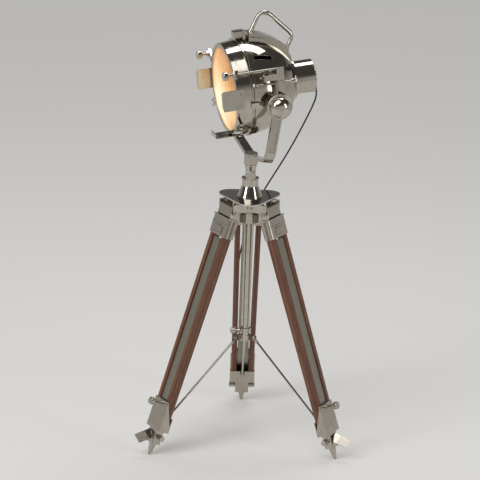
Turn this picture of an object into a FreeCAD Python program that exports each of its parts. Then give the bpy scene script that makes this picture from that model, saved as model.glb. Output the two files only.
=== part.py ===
# Studio searchlight on a wooden survey tripod, millimetres, +Z up.
# The origin is on the floor, at the middle of the space between the feet.
# The head is pointed to one side and a little down, as it stands in use.
import FreeCAD, Part
import math
import os

os.makedirs("parts", exist_ok=True)

# Sizes of the tripod head
hingeHeight = 900.0
plateAboveHinge = 44.0
plateTop = hingeHeight + plateAboveHinge
plateThick = 6.0
plateCornerOut = 76.0
plateCornerRadius = 46.0
spiderFlange = 6.0
spiderRadius = 42.5
spiderBelowHinge = 50.0
spiderBottom = hingeHeight - spiderBelowHinge
spiderGroove = 3.0
hingeRadius = 85.0
hingePinRadius = 5.0
lugGap = 92.0
lugThick = 8.0
lugReach = 12.0
studRadius = 8.0
studBottom = hingeHeight
studLength = 75.0
plateScrewRadius = 3.0
plateScrewCircle = 58.0

# Sizes of the legs
legReach = 396.5
socketBlockWide = 88.0
socketBlockDeep = 34.0
socketBlockUp = 22.0
socketBlockDown = 24.0
socketLength = 98.0
socketWall = 2.5
stileWide = 21.0
stileDeep = 34.0
stileTop = 50.0
stileBottom = 848.0
stileRound = 5.0
legWideTop = 100.0
legWideBottom = 86.0
barWide = 42.0
barThick = 6.0
barRecess = 5.0
barTop = 106.0
barGap = 0.4
collarPlate = 3.5
collarTop = 738.0
collarFloor = 4.0
collarStrap = 55.0
collarSlope = 16.0
lockKnobAt = 752.0
lockStemRadius = 5.0
lockStemLength = 30.0
lockKnobRadius = 14.0
lockKnobLength = 15.0
lockBossRadius = 10.0
lockBossHigh = 5.0

# Sizes of the feet
shoeBottom = 905.0
shoeWide = 52.0
shoeDeep = 32.0
footBoltAt = 876.0
footBoltRadius = 4.0
footKnobRadius = 10.0
footKnobLength = 24.0
footKnobGap = 0.5
spikeTopRadius = 15.0
spikeTipRadius = 4.0
pedalLong = 66.0
pedalPlain = 24.0
pedalWide = 37.0
pedalThick = 4.0
pedalRibs = 7
pedalRibWide = 3.0
pedalRibHigh = 2.0
pedalDrop = 14.0
pedalStart = 16.0
pedalRoll = {"left": -43.0, "right": 43.0, "back": 0.0}
pedalAt = 868.0
groundDeep = 60.0

# Sizes of the spreader
postRadius = 16.0
postWall = 2.0
postDrop = 508.0
postBottom = hingeHeight - postDrop
postSocket = 30.0
postCapRadius = 21.0
postCapThick = 6.0
hubTall = 18.0
hubWall = 5.0
hubLugThick = 4.0
hubPinOut = 36.0
hubNeckTall = 26.0
hubBossRadius = 8.0
hubBossOut = 30.0
hubStemRadius = 4.0
hubStemLength = 6.0
hubKnobRadius = 11.0
hubKnobLength = 20.0
bracePinAlong = 806.0
bracePinIn = 28.0
braceRadius = 4.0
braceEyeRadius = 7.0
braceEyeThick = 5.0
braceEyeGap = 0.4
bracePinRadius = 3.0

# Sizes of the column
coneHigh = 41.0
coneBottomRadius = 46.0
coneTopRadius = 30.0
collarHigh = 24.0
lipRadius = 32.0
lipHigh = 5.0
neckRadius = 19.0
neckHigh = 119.0
neckTop = plateTop + neckHigh
neckRingRadius = 22.0
neckRingHigh = 8.0
spigotRadius = 12.0
spigotLength = 60.0
panKnobHeight = neckTop - 29.0
panKnobRadius = 18.5
panKnobThick = 9.0
panStemRadius = 5.0
panStemLength = 26.0

# Sizes of the yoke
yokeHubRadius = 25.0
yokeHubBottom = neckTop + 1.0
yokeHubTop = yokeHubBottom + 44.0
yokeThick = 12.0
yokeWide = 36.0
yokeBottom = yokeHubBottom + 32.0
yokeRise = 8.5
yokeCorner = 44.0
yokeEndRadius = 30.0
yokeGroove = 2.5
yokeGrooveWide = 18.0
pivotAboveYoke = 233.0
pivotHeight = yokeBottom + pivotAboveYoke
pivotRear = 34.0
pivotRadius = 8.0

# How the head is pointed
panAngle = 196.3
tiltDown = 6.5

# Sizes of the lamp house, with stations measured back from the front rim
pivotStation = 140.0
axisAbovePivot = 37.0
sheet = 2.5
domeRadius = 176.0
domeStart = 80.0
bezelBackRadius = domeRadius - 4.0
bezelFlangeFront = 53.0
bezelFlangeRadius = domeRadius + 2.0
rimRadius = bezelBackRadius - 6.0
rimInside = rimRadius - 16.0
rimThick = 3.0
gasketFront = 59.0
gasketThick = 2.0
gasketInside = domeRadius - 16.0
gasketOutside = domeRadius - 2.0
bodyFlangeRadius = domeRadius + 4.0
bodyFlangeThick = 7.0
domeCurve = 194.6
domeEnd = 250.0
rearMouth = 52.0
rearRingRadius = 74.0
rearRingThick = 6.0
rearRadius = 61.0
rearWall = 2.0
rearEnd = 328.0
capThick = 3.0
capScrewCircle = 53.0
glandOut = 5.0
glandUp = -28.0
glandLength = 24.0
glandSlope = 84.0
glandMouth = 4.2
lensRadius = rimRadius - 3.0
lensEdge = 5.0
lensSag = 24.0
lensRingThick = 4.0
lensRingInside = rimInside - 4.0
reflectorRadius = domeRadius - 26.0
reflectorDepth = 100.0
reflectorHole = 30.0
reflectorSheet = 1.5
bulbRadius = 30.0
bulbStation = 128.0
bulbNeckRadius = 13.0
bulbCapLength = 26.0
holderRadius = 20.0
holderFront = 178.0
carrierStation = 262.0
carrierThick = 4.0
hoodFront = 94.0
hoodEnd = 246.0
hoodWide = 84.0
hoodHigh = 14.0
hoodTopWide = 64.0
hoodTopHigh = 22.0
hoodSheet = 2.0
hoodRoot = 12.0
ventFront = hoodFront + 20.0
ventEnd = hoodEnd - 46.0
ventWide = 28.0
ventDeep = 80.0
handleRadius = 7.8
handleBend = 30.0
handleFront = 107.0
handleTopAt = 164.0
handleTop = domeRadius + 100.0
handleRearAt = 272.0
handleRear = domeRadius - 16.0
handleEndAt = 238.0
catchWide = 34.0
catchPinAt = 83.0
catchPinRadius = 2.5
catchPinUp = bodyFlangeRadius + 16.0
louvreStart = 86.0
louvreEnd = 154.0
louvreWide = 16.0
louvreDeep = 44.0
louvreAngle = 43.0
switchStation = 222.0
switchAngle = 54.0

# Sizes of the side gear on the lamp house
bracketInside = domeRadius + 6.0
bracketThick = 6.0
bracketRoot = domeRadius - 56.0
yokeInside = bracketInside + bracketThick + 8.0
bracketWide = 26.0
trunnionBoss = 24.0
upperRodUp = 92.0
upperRodOut = domeRadius - 7.0
upperRodRadius = 4.0
rodSlotHalf = upperRodRadius + 0.6
upperRodFront = -38.0
upperRodRear = 168.0
rodKnobRadius = 15.5
rodKnobLength = 18.0
rodNutRadius = 11.0
rodNutLength = 9.0
lowerRodUp = 44.0
lowerRodOut = domeRadius + 8.0
lowerRodRear = 212.0
lugWide = 26.0
clampFront = 46.0
clampBack = 74.0
clampWide = 20.0
clampAngles = (-138, -98, 98, 138)
clampNutRadius = 6.5
armUp = 67.0
armFront = 98.0
domeKnobRadius = 47.0
domeKnobFlange = 7.0
domeKnobHigh = 30.0
washerRadius = 24.0

# Sizes of the filter holders on the rim
holderLong = 78.0
holderWide = 74.0
holderBack = 24.0
holderThick = 2.5
holderCorner = 4.0
holderLip = 14.0
holderScrewReach = 7.0
holderAngles = (90, 180, 270)

# Sizes of the cord
cordRadius = 3.0
coilRadius = 33.0
coilLoops = 2
coilLayers = 4
coilPitch = 6.7
coilTail = 0.125
tailRadius = 20.0
plugRadius = 15.0
plugBody = 20.0
plugSleeve = 10.0
plugPinRadius = 2.4
plugPinLength = 16.0
plugPinGap = 19.0

# Clearances
running = 0.06
seat = 0.3

Vector = FreeCAD.Vector
origin = Vector(0, 0, 0)
axisX = Vector(1, 0, 0)
axisY = Vector(0, 1, 0)
axisZ = Vector(0, 0, 1)

# The tripod's axis stands forward of the origin, so that the feet lie evenly about it.
pedalOut = legReach + 48.0
tripodForward = (pedalOut - pedalOut / 2 - 0.5 * pedalWide * math.cos(math.radians(30))) / 2
tripodBase = FreeCAD.Placement(Vector(0, -tripodForward, 0), FreeCAD.Rotation())

# The spread angle and the length of a leg follow from the hinge and the foot.
spreadAngle = math.degrees(math.atan2(legReach - hingeRadius, hingeHeight))
legLength = math.hypot(legReach - hingeRadius, hingeHeight)
legAzimuths = {"left": 210.0, "right": 330.0, "back": 90.0}


def cylinder(radius, length, base, direction):
    return Part.makeCylinder(radius, length, base, direction)


def ring(outer, inner, length, base, direction):
    return cylinder(outer, length, base, direction).cut(cylinder(inner, length, base, direction))


def block(low, high):
    size = high.sub(low)
    return Part.makeBox(size.x, size.y, size.z, low)


def roundedBlock(low, high, radius, along):
    solid = block(low, high)
    picked = []
    for edge in solid.Edges:
        direction = edge.tangentAt(edge.FirstParameter)
        if abs(abs(direction.dot(along)) - 1) < 1e-6:
            picked.append(edge)
    return solid.makeFillet(radius, picked)


def prism(points, direction):
    wire = Part.makePolygon(points + [points[0]])
    return Part.Face(wire).extrude(direction)


def fuse(shapes):
    return shapes[0].multiFuse(shapes[1:]).removeSplitter()


def placed(shape, placement):
    copy = shape.copy()
    copy.Placement = placement.multiply(copy.Placement)
    return copy


def turned(shape, angle, direction, center=origin):
    copy = shape.copy()
    copy.rotate(center, direction, angle)
    return copy


def moved(shape, x, y, z):
    copy = shape.copy()
    copy.translate(Vector(x, y, z))
    return copy


def revolved(edges, direction):
    return Part.Face(Part.Wire(edges)).revolve(origin, direction, 360)


def polyline(points):
    edges = []
    for start, end in zip(points, points[1:]):
        edges.append(Part.LineSegment(start, end).toShape())
    return edges


def save(node, solids):
    shape = solids[0] if len(solids) == 1 else Part.makeCompound(solids)
    for solid in solids:
        if not solid.isValid():
            print("not valid:", node)
    shape.exportStep("parts/" + node + ".step")


def knob(radius, length, flutes):
    # A grip that starts at the origin and runs along +Z, with rounded ends and finger flutes.
    body = cylinder(radius, length, origin, axisZ)
    body = body.makeFillet(min(radius, length) * 0.22, [body.Edges[0], body.Edges[2]])
    for turn in range(flutes):
        angle = 2 * math.pi * turn / flutes
        cut = cylinder(radius * 0.16, length, Vector(radius * 1.05, 0, 0), axisZ)
        body = body.cut(turned(cut, math.degrees(angle), axisZ))
    return body


def hexagon(acrossCorners, length):
    points = []
    for corner in range(6):
        angle = math.radians(60 * corner)
        points.append(Vector(acrossCorners * math.cos(angle), acrossCorners * math.sin(angle), 0))
    return prism(points, Vector(0, 0, length))


def aim(shape, base, direction):
    # Turns a shape built along +Z to a direction and sets its start at a point.
    placement = FreeCAD.Placement(base, FreeCAD.Rotation(axisZ, direction))
    return placed(shape, placement)


def triangle(cornerOut, cornerRadius, bottom, thick):
    # A triangle with rounded corners, one of them toward the front.
    edges = []
    for azimuth in (-90, 30, 150):
        middle = Vector(cornerOut, 0, bottom)
        points = []
        for turn in (-60, 0, 60):
            reach = FreeCAD.Rotation(axisZ, turn).multVec(Vector(cornerRadius, 0, 0))
            points.append(FreeCAD.Rotation(axisZ, azimuth).multVec(middle.add(reach)))
        if edges:
            last = edges[-1].Vertexes[-1].Point
            edges.append(Part.LineSegment(last, points[0]).toShape())
        edges.append(Part.Arc(points[0], points[1], points[2]).toShape())
    edges.append(Part.LineSegment(edges[-1].Vertexes[-1].Point, edges[0].Vertexes[0].Point).toShape())
    return Part.Face(Part.Wire(edges)).extrude(Vector(0, 0, thick))


def legPlacement(azimuth):
    # Leg pieces are built about the hinge pin: x along the pin, y outward, z up the leg.
    turn = FreeCAD.Placement(origin, FreeCAD.Rotation(axisZ, azimuth - 90))
    hinge = FreeCAD.Placement(Vector(0, hingeRadius, hingeHeight), FreeCAD.Rotation(axisX, spreadAngle))
    return tripodBase.multiply(turn).multiply(hinge)


def spokePlacement(azimuth):
    return tripodBase.multiply(FreeCAD.Placement(origin, FreeCAD.Rotation(axisZ, azimuth - 90)))


flangeUnder = plateTop - plateThick - spiderFlange
pinHalf = lugGap / 2 + lugThick


# Tripod head: plate, spider, hinge pins and screws
def plateScrews():
    screws = []
    for azimuth in (-90, 30, 150):
        base = FreeCAD.Rotation(axisZ, azimuth).multVec(Vector(plateScrewCircle, 0, flangeUnder - 4))
        head = cylinder(plateScrewRadius * 1.8, 4, base, axisZ)
        shank = cylinder(plateScrewRadius, 4 + spiderFlange + plateThick - 2, base, axisZ)
        screws.append(fuse([head, shank]))
    return screws


def headPlate():
    plate = triangle(plateCornerOut, plateCornerRadius, plateTop - plateThick, plateThick)
    plate = plate.cut(cylinder(studRadius, plateThick, Vector(0, 0, plateTop - plateThick), axisZ))
    for screw in plateScrews():
        plate = plate.cut(screw)
    return plate


def spider():
    flange = triangle(plateCornerOut - 6, plateCornerRadius - 6, flangeUnder, spiderFlange)
    boss = cylinder(spiderRadius, flangeUnder - spiderBottom, Vector(0, 0, spiderBottom), axisZ)
    grooveAt = Vector(0, 0, (flangeUnder + spiderBottom) / 2 - spiderGroove)
    boss = boss.cut(ring(spiderRadius + 1, spiderRadius - spiderGroove, spiderGroove, grooveAt, axisZ))
    shapes = [flange, boss]
    for azimuth in legAzimuths.values():
        for side in (-1, 1):
            inner = side * lugGap / 2
            outer = inner + side * lugThick
            low = min(inner, outer)
            high = Vector(low + lugThick, hingeRadius + lugReach, flangeUnder + 0.5)
            lug = block(Vector(low, spiderRadius, hingeHeight), high)
            eye = cylinder(lugReach, lugThick, Vector(low, hingeRadius, hingeHeight), axisX)
            shapes.append(turned(fuse([lug, eye]), azimuth - 90, axisZ))
    body = fuse(shapes)
    body = body.cut(cylinder(studRadius, studLength, Vector(0, 0, studBottom), axisZ))
    body = body.cut(cylinder(postRadius, postSocket, Vector(0, 0, spiderBottom), axisZ))
    for azimuth in legAzimuths.values():
        start = Vector(-pinHalf - 1, hingeRadius, hingeHeight)
        hole = cylinder(hingePinRadius, 2 * pinHalf + 2, start, axisX)
        body = body.cut(turned(hole, azimuth - 90, axisZ))
    for screw in plateScrews():
        body = body.cut(screw)
    return body


def hingePin(azimuth):
    half = pinHalf + 0.2
    pin = cylinder(hingePinRadius, 2 * half, Vector(-half, hingeRadius, hingeHeight), axisX)
    headRadius = hingePinRadius * 1.7
    left = cylinder(headRadius, 3, Vector(-pinHalf - 3, hingeRadius, hingeHeight), axisX)
    right = cylinder(headRadius, 3, Vector(pinHalf, hingeRadius, hingeHeight), axisX)
    return turned(fuse([pin, left, right]), azimuth - 90, axisZ)


# Spreader: post, its end cap, the sliding hub and its knob
capTop = postBottom
hubBottom = capTop + seat
hubPinHeight = hubBottom + hubTall / 2
hubKnobHeight = hubBottom + hubTall + hubNeckTall / 2
slotWide = braceEyeThick + 2 * braceEyeGap


def centrePost():
    top = spiderBottom + postSocket
    return ring(postRadius, postRadius - postWall, top - postBottom, Vector(0, 0, postBottom), axisZ)


def postCap():
    flange = cylinder(postCapRadius, postCapThick, Vector(0, 0, capTop - postCapThick), axisZ)
    flange = flange.makeFillet(2, [flange.Edges[2]])
    plug = cylinder(postRadius - postWall, 20, Vector(0, 0, capTop - 1), axisZ)
    return fuse([flange, plug])


def braceHub():
    bore = postRadius + running
    low = cylinder(postRadius + hubWall, hubTall, Vector(0, 0, hubBottom), axisZ)
    neck = cylinder(postRadius + hubWall - 1, hubNeckTall, Vector(0, 0, hubBottom + hubTall), axisZ)
    boss = cylinder(hubBossRadius, hubBossOut, Vector(0, 0, hubKnobHeight), Vector(-1, 0, 0))
    shapes = [low, neck, boss]
    for azimuth in legAzimuths.values():
        for side in (-1, 1):
            inner = side * slotWide / 2
            low = min(inner, inner + side * hubLugThick)
            high = Vector(low + hubLugThick, hubPinOut, hubBottom + hubTall)
            lug = block(Vector(low, postRadius + 2, hubBottom), high)
            eye = cylinder(hubTall / 2, hubLugThick, Vector(low, hubPinOut, hubPinHeight), axisX)
            headAt = low + hubLugThick if side > 0 else low - 2
            head = cylinder(4.5, 2, Vector(headAt, hubPinOut, hubPinHeight), axisX)
            shapes.append(turned(fuse([lug, eye, head]), azimuth - 90, axisZ))
    hub = fuse(shapes)
    hub = hub.cut(cylinder(bore, hubTall + hubNeckTall + 2, Vector(0, 0, hubBottom - 1), axisZ))
    stemHole = cylinder(hubStemRadius + running, hubBossOut + 1, origin, Vector(-1, 0, 0))
    return hub.cut(moved(stemHole, 0, 0, hubKnobHeight))


def hubKnob():
    start = postRadius + running + seat
    stem = cylinder(hubStemRadius, hubBossOut + hubStemLength - start, Vector(0, 0, start), axisZ)
    grip = moved(knob(hubKnobRadius, hubKnobLength, 6), 0, 0, hubBossOut + hubStemLength)
    return aim(fuse([stem, grip]), Vector(0, 0, hubKnobHeight), Vector(-1, 0, 0))


# Legs
def stile(side):
    # A straight wooden rail with rounded edges, leaning in toward the foot.
    topMiddle = legWideTop / 2 - stileWide / 2
    bottomMiddle = legWideBottom / 2 - stileWide / 2
    lean = math.degrees(math.atan2(topMiddle - bottomMiddle, stileBottom - stileTop))
    length = math.hypot(topMiddle - bottomMiddle, stileBottom - stileTop)
    low = Vector(-stileWide / 2, -stileDeep / 2, -length)
    rail = roundedBlock(low, Vector(stileWide / 2, stileDeep / 2, 0), stileRound, axisZ)
    rail = turned(rail, side * lean, axisY)
    return moved(rail, side * topMiddle, 0, -stileTop)


def legSocket():
    half = socketBlockWide / 2
    deep = socketBlockDeep / 2
    top = roundedBlock(Vector(-half, -deep, -socketBlockDown), Vector(half, deep, socketBlockUp), 6, axisX)
    wide = legWideTop / 2 + socketWall
    back = deep + socketWall
    sleeve = block(Vector(-wide, -back, -socketLength), Vector(wide, back, -socketBlockDown))
    low = Vector(-wide - 3, -back, -socketBlockDown - 5)
    ridge = roundedBlock(low, Vector(wide + 3, back + 3, -socketBlockDown), 1.5, axisX)
    low = Vector(-wide - 2, -back, -socketLength * 0.56)
    band = block(low, Vector(wide + 2, back + 1.5, -socketLength * 0.53))
    panel = block(Vector(-22, back - 1, -socketLength + 8), Vector(26, back + 3.5, -socketLength * 0.62))
    low = Vector(-17, back + 1.5, -socketLength + 13)
    panel = panel.cut(block(low, Vector(21, back + 4, -socketLength + 16)))
    shapes = [top, sleeve, ridge, band, panel]
    for side in (-1, 1):
        for lay in (-1, 1):
            base = Vector(side * (wide - 3), lay * 9.5, -socketLength)
            barrel = cylinder(9.5, socketLength - socketBlockDown - 4, base, axisZ)
            shapes.append(barrel)
    body = fuse(shapes)
    hole = cylinder(hingePinRadius + running, 2 * half + 2, Vector(-half - 1, 0, 0), axisX)
    body = body.cut(hole)
    slotHalf = legWideTop / 2 - stileWide - 1.5
    low = Vector(-slotHalf, -deep + 4, -socketLength - 1)
    body = body.cut(block(low, Vector(slotHalf, deep, -socketLength * 0.8)))
    return body.cut(stile(-1)).cut(stile(1))


def barSolid(top, bottom, gap):
    face = stileDeep / 2 - barRecess
    half = barWide / 2
    return block(Vector(-half - gap, face - barThick - gap, -bottom), Vector(half + gap, face + gap, -top))


def legBar():
    return barSolid(barTop, shoeBottom - 12, 0)


collarBottom = stileBottom + collarFloor
collarHalf = legWideBottom / 2 + 1.2 + collarPlate
collarOut = stileDeep / 2 + collarPlate
bossFace = collarOut + lockBossHigh


def legCollar():
    floor = block(Vector(-collarHalf, -collarOut, -collarBottom), Vector(collarHalf, collarOut, -stileBottom))
    low = Vector(-collarHalf, stileDeep / 2, -collarBottom)
    front = block(low, Vector(collarHalf, collarOut, -collarTop))
    low = Vector(-collarHalf, -collarOut, -collarBottom)
    strap = block(low, Vector(collarHalf, -stileDeep / 2, -collarBottom + collarStrap))
    shapes = [floor, front, strap]
    for side in (-1, 1):
        outer = side * collarHalf
        inner = side * (collarHalf - collarPlate - 2)
        low = min(outer, inner)
        cheek = [
            Vector(low, -collarOut, -collarBottom),
            Vector(low, -collarOut, -collarBottom + collarSlope),
            Vector(low, collarOut, -collarTop),
            Vector(low, collarOut, -collarBottom),
        ]
        shapes.append(prism(cheek, Vector(collarPlate + 2, 0, 0)))
        inner = side * slotWide / 2
        low = min(inner, inner + side * hubLugThick)
        pinY = -bracePinIn
        high = Vector(low + hubLugThick, -stileDeep / 2 - 1, -bracePinAlong + 9)
        lug = block(Vector(low, pinY, -bracePinAlong - 9), high)
        eye = cylinder(9, hubLugThick, Vector(low, pinY, -bracePinAlong), axisX)
        shapes.append(fuse([lug, eye]))
    shapes.append(cylinder(lockBossRadius, lockBossHigh, Vector(0, collarOut, -lockKnobAt), axisY))
    body = fuse(shapes)
    body = body.cut(stile(-1)).cut(stile(1))
    body = body.cut(barSolid(barTop, collarBottom + 5, barGap))
    hole = cylinder(lockStemRadius + running, bossFace, Vector(0, 0, -lockKnobAt), axisY)
    body = body.cut(hole)
    return body.cut(bracePin())


def bracePin():
    half = slotWide / 2 + hubLugThick
    base = Vector(-half - 2, -bracePinIn, -bracePinAlong)
    pin = cylinder(bracePinRadius, 2 * half + 4, base, axisX)
    left = cylinder(bracePinRadius * 1.6, 2, base, axisX)
    right = cylinder(bracePinRadius * 1.6, 2, Vector(half, -bracePinIn, -bracePinAlong), axisX)
    return fuse([pin, left, right])


def lockKnob():
    start = stileDeep / 2 - barRecess + seat
    end = bossFace + lockStemLength
    stem = cylinder(lockStemRadius, end - start, Vector(0, 0, start), axisZ)
    grip = moved(knob(lockKnobRadius, lockKnobLength, 7), 0, 0, end)
    return aim(fuse([stem, grip]), Vector(0, 0, -lockKnobAt), axisY)


# Feet
shoeTop = collarBottom + seat
boltY = stileDeep / 2 - barRecess - barThick - 4 - footBoltRadius


def pedal(roll):
    plate = block(Vector(-pedalWide / 2, 0, -pedalThick), Vector(pedalWide / 2, pedalLong, 0))
    shapes = [plate]
    step = (pedalLong - pedalPlain) / pedalRibs
    for count in range(pedalRibs):
        low = pedalPlain + count * step
        rib = block(Vector(-pedalWide / 2, low, -1), Vector(pedalWide / 2, low + pedalRibWide, pedalRibHigh))
        shapes.append(rib)
    tread = turned(fuse(shapes), roll, axisY)
    drop = math.degrees(math.asin(pedalDrop / pedalLong)) + spreadAngle
    return moved(turned(tread, -drop, axisX), 0, pedalStart, -pedalAt)


def footShoe(roll, placement):
    half = shoeWide / 2
    low = Vector(-half, -shoeDeep / 2, -shoeBottom)
    body = roundedBlock(low, Vector(half, shoeDeep / 2 + 3, -shoeTop), 4, axisZ)
    tipAlong = legLength + 3
    shank = tipAlong - shoeBottom
    spike = Part.makeCone(spikeTopRadius, spikeTipRadius, shank, Vector(0, 0, -shoeBottom), Vector(0, 0, -1))
    neck = cylinder(spikeTopRadius, 6, Vector(0, 0, -shoeBottom), axisZ)
    tread = pedal(roll)
    body = fuse([body, neck, spike]).cut(tread)
    bolt = cylinder(footBoltRadius + running, shoeWide + 2, Vector(-half - 1, boltY, -footBoltAt), axisX)
    across = 2 * legReach
    ground = block(Vector(-across, -across, -groundDeep), Vector(across, across, 0))
    solids = []
    for solid in (body, tread):
        solids.append(placed(solid.cut(legBar()).cut(bolt), placement).cut(ground))
    return solids


def footBolt():
    half = shoeWide / 2 + footKnobGap
    rod = cylinder(footBoltRadius, 2 * half + 4, Vector(0, 0, -half - 2), axisZ)
    right = moved(knob(footKnobRadius, footKnobLength, 6), 0, 0, half)
    left = turned(right, 180, axisX)
    return aim(fuse([rod, right, left]), Vector(0, boltY, -footBoltAt), axisX)


# Braces run from the hub to a pin on the inner side of each leg.
def bracePinPoint():
    turn = FreeCAD.Placement(Vector(0, hingeRadius, hingeHeight), FreeCAD.Rotation(axisX, spreadAngle))
    return turn.multVec(Vector(0, -bracePinIn, -bracePinAlong))


def brace():
    hubPoint = Vector(0, hubPinOut, hubPinHeight)
    legPoint = bracePinPoint()
    along = legPoint.sub(hubPoint)
    length = along.Length
    direction = FreeCAD.Vector(along)
    direction.normalize()
    shapes = []
    for point in (hubPoint, legPoint):
        eye = cylinder(braceEyeRadius, braceEyeThick, Vector(-braceEyeThick / 2, point.y, point.z), axisX)
        shapes.append(eye)
    rod = cylinder(braceRadius, length - 2 * 22, hubPoint.add(direction * 22), direction)
    shapes.append(rod)
    flat = block(Vector(-braceEyeThick / 2, -4.5, 0), Vector(braceEyeThick / 2, 4.5, length))
    shapes.append(aim(flat, hubPoint, direction))
    body = fuse([shapes[0], shapes[1], shapes[3]])
    middle = block(Vector(-9, -9, 26), Vector(9, 9, length - 26))
    body = fuse([body.cut(aim(middle, hubPoint, direction)), rod])
    for point, radius in ((legPoint, bracePinRadius + running), (hubPoint, bracePinRadius)):
        start = Vector(-braceEyeThick / 2 - 1, point.y, point.z)
        body = body.cut(cylinder(radius, braceEyeThick + 2, start, axisX))
    return body


# Column on the plate, with the knob that locks the turning
def column():
    lipBottom = plateTop + coneHigh + collarHigh
    points = [
        Vector(0, 0, plateTop),
        Vector(coneBottomRadius, 0, plateTop),
        Vector(coneBottomRadius, 0, plateTop + 2),
        Vector(coneTopRadius, 0, plateTop + coneHigh),
        Vector(coneTopRadius, 0, lipBottom),
        Vector(lipRadius, 0, lipBottom + 1.5),
        Vector(lipRadius, 0, lipBottom + lipHigh),
        Vector(neckRadius, 0, lipBottom + lipHigh),
        Vector(neckRadius, 0, neckTop - neckRingHigh),
        Vector(neckRingRadius, 0, neckTop - neckRingHigh),
        Vector(neckRingRadius, 0, neckTop),
        Vector(0, 0, neckTop),
        Vector(0, 0, plateTop),
    ]
    body = revolved(polyline(points), axisZ)
    boreDeep = spigotLength + seat
    bore = cylinder(spigotRadius + running, boreDeep, Vector(0, 0, neckTop - boreDeep), axisZ)
    body = body.cut(bore)
    body = body.cut(cylinder(studRadius, studBottom + studLength - plateTop, Vector(0, 0, plateTop), axisZ))
    stemHole = cylinder(panStemRadius + running, neckRadius + 2, origin, Vector(0, -1, 0))
    return body.cut(moved(stemHole, 0, 0, panKnobHeight))


def columnStud():
    return cylinder(studRadius, studLength, Vector(0, 0, studBottom), axisZ)


def panKnob():
    start = spigotRadius + seat
    end = neckRadius + panStemLength
    stem = cylinder(panStemRadius, end - start, Vector(0, 0, start), axisZ)
    neck = cylinder(panStemRadius + 3, 7, Vector(0, 0, end - 7), axisZ)
    disc = cylinder(panKnobRadius, panKnobThick, Vector(0, 0, end), axisZ)
    disc = disc.makeFillet(1.5, [disc.Edges[0], disc.Edges[2]])
    return aim(fuse([stem, neck, disc]), Vector(0, 0, panKnobHeight), Vector(0, -1, 0))


# Yoke frame: x toward the lens, y to its left, z up. The arms lean back.
yokeLean = math.degrees(math.atan2(pivotRear, pivotHeight - yokeBottom))
yokeTall = math.hypot(pivotRear, pivotHeight - yokeBottom)
yokePlacement = tripodBase.multiply(FreeCAD.Placement(origin, FreeCAD.Rotation(axisZ, panAngle)))
headPose = FreeCAD.Placement(Vector(-pivotRear, 0, pivotHeight), FreeCAD.Rotation(axisY, tiltDown))
headPlacement = yokePlacement.multiply(headPose)


def yokeEdge(offset):
    # One side of the fork, from the top of the arm to the middle of the foot.
    rise = math.radians(yokeRise)
    line = yokeInside + yokeThick / 2
    cornerY = line - yokeCorner
    cornerZ = (yokeCorner + cornerY * math.sin(rise)) / math.cos(rise)
    radius = yokeCorner + offset
    halfTurn = (math.pi / 2 - rise) / 2
    points = []
    for angle in (0, halfTurn, 2 * halfTurn):
        points.append(Vector(0, cornerY + radius * math.cos(angle), cornerZ - radius * math.sin(angle)))
    foot = Vector(0, 0, -offset / math.cos(rise))
    top = Vector(0, line + offset, yokeTall)
    return [
        Part.LineSegment(top, points[0]).toShape(),
        Part.Arc(points[0], points[1], points[2]).toShape(),
        Part.LineSegment(points[2], foot).toShape(),
    ]


def yoke():
    outside = yokeEdge(yokeThick / 2)
    inside = yokeEdge(-yokeThick / 2)
    topLine = Part.LineSegment(inside[0].Vertexes[0].Point, outside[0].Vertexes[0].Point).toShape()
    middleLine = Part.LineSegment(outside[2].Vertexes[-1].Point, inside[2].Vertexes[-1].Point).toShape()
    half = Part.Face(Part.Wire(Part.sortEdges(outside + inside + [topLine, middleLine])[0]))
    half = moved(half.extrude(Vector(yokeWide, 0, 0)), -yokeWide / 2, 0, 0)
    end = cylinder(yokeEndRadius, yokeThick, Vector(0, yokeInside, yokeTall), axisY)
    groove = block(
        Vector(-yokeGrooveWide / 2, yokeInside + yokeThick - yokeGroove, yokeCorner + 24),
        Vector(yokeGrooveWide / 2, yokeInside + yokeThick + 1, yokeTall - domeKnobRadius - 4),
    )
    half = fuse([half, end]).cut(groove)
    other = half.mirror(origin, axisY)
    fork = moved(turned(fuse([half, other]), -yokeLean, axisY), 0, 0, yokeBottom)
    hub = cylinder(yokeHubRadius, yokeHubTop - yokeHubBottom, Vector(0, 0, yokeHubBottom), axisZ)
    hub = hub.makeFillet(3, [hub.Edges[0], hub.Edges[2]])
    spigotBottom = neckTop - spigotLength
    spigot = cylinder(spigotRadius, yokeHubBottom - spigotBottom, Vector(0, 0, spigotBottom), axisZ)
    body = fuse([fork, hub, spigot])
    reach = yokeInside + yokeThick + 2
    hole = cylinder(pivotRadius + running, 2 * reach, Vector(-pivotRear, -reach, pivotHeight), axisY)
    return body.cut(hole)


def panWasher():
    thick = yokeHubBottom - neckTop - seat
    return ring(neckRingRadius, spigotRadius + running, thick, Vector(0, 0, neckTop), axisZ)


# Lamp house frame: the origin is the tilt pivot, x toward the lens, y to its left, z up.
def at(station, out, up):
    return Vector(pivotStation - station, out, axisAbovePivot + up)


def onAxis(shape):
    return moved(shape, pivotStation, 0, axisAbovePivot)


def rim(station, radius):
    return Vector(-station, 0, radius)


def arcThrough(start, middle, end):
    return Part.Arc(start, middle, end).toShape()


def domeAt(station, curve):
    # The height of the dome's outline at a station, for an outline of a given curve radius.
    return domeRadius - domeCurve + math.sqrt(curve ** 2 - (station - domeStart) ** 2)


def domeArc(start, end, offset):
    stations = (start, (start + end) / 2, end)
    points = [rim(station, domeAt(station, domeCurve + offset)) for station in stations]
    return arcThrough(points[0], points[1], points[2])


bodyFront = gasketFront + gasketThick
lipBack = bodyFront + 4.0
bodyFlangeBack = bodyFront + bodyFlangeThick


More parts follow.
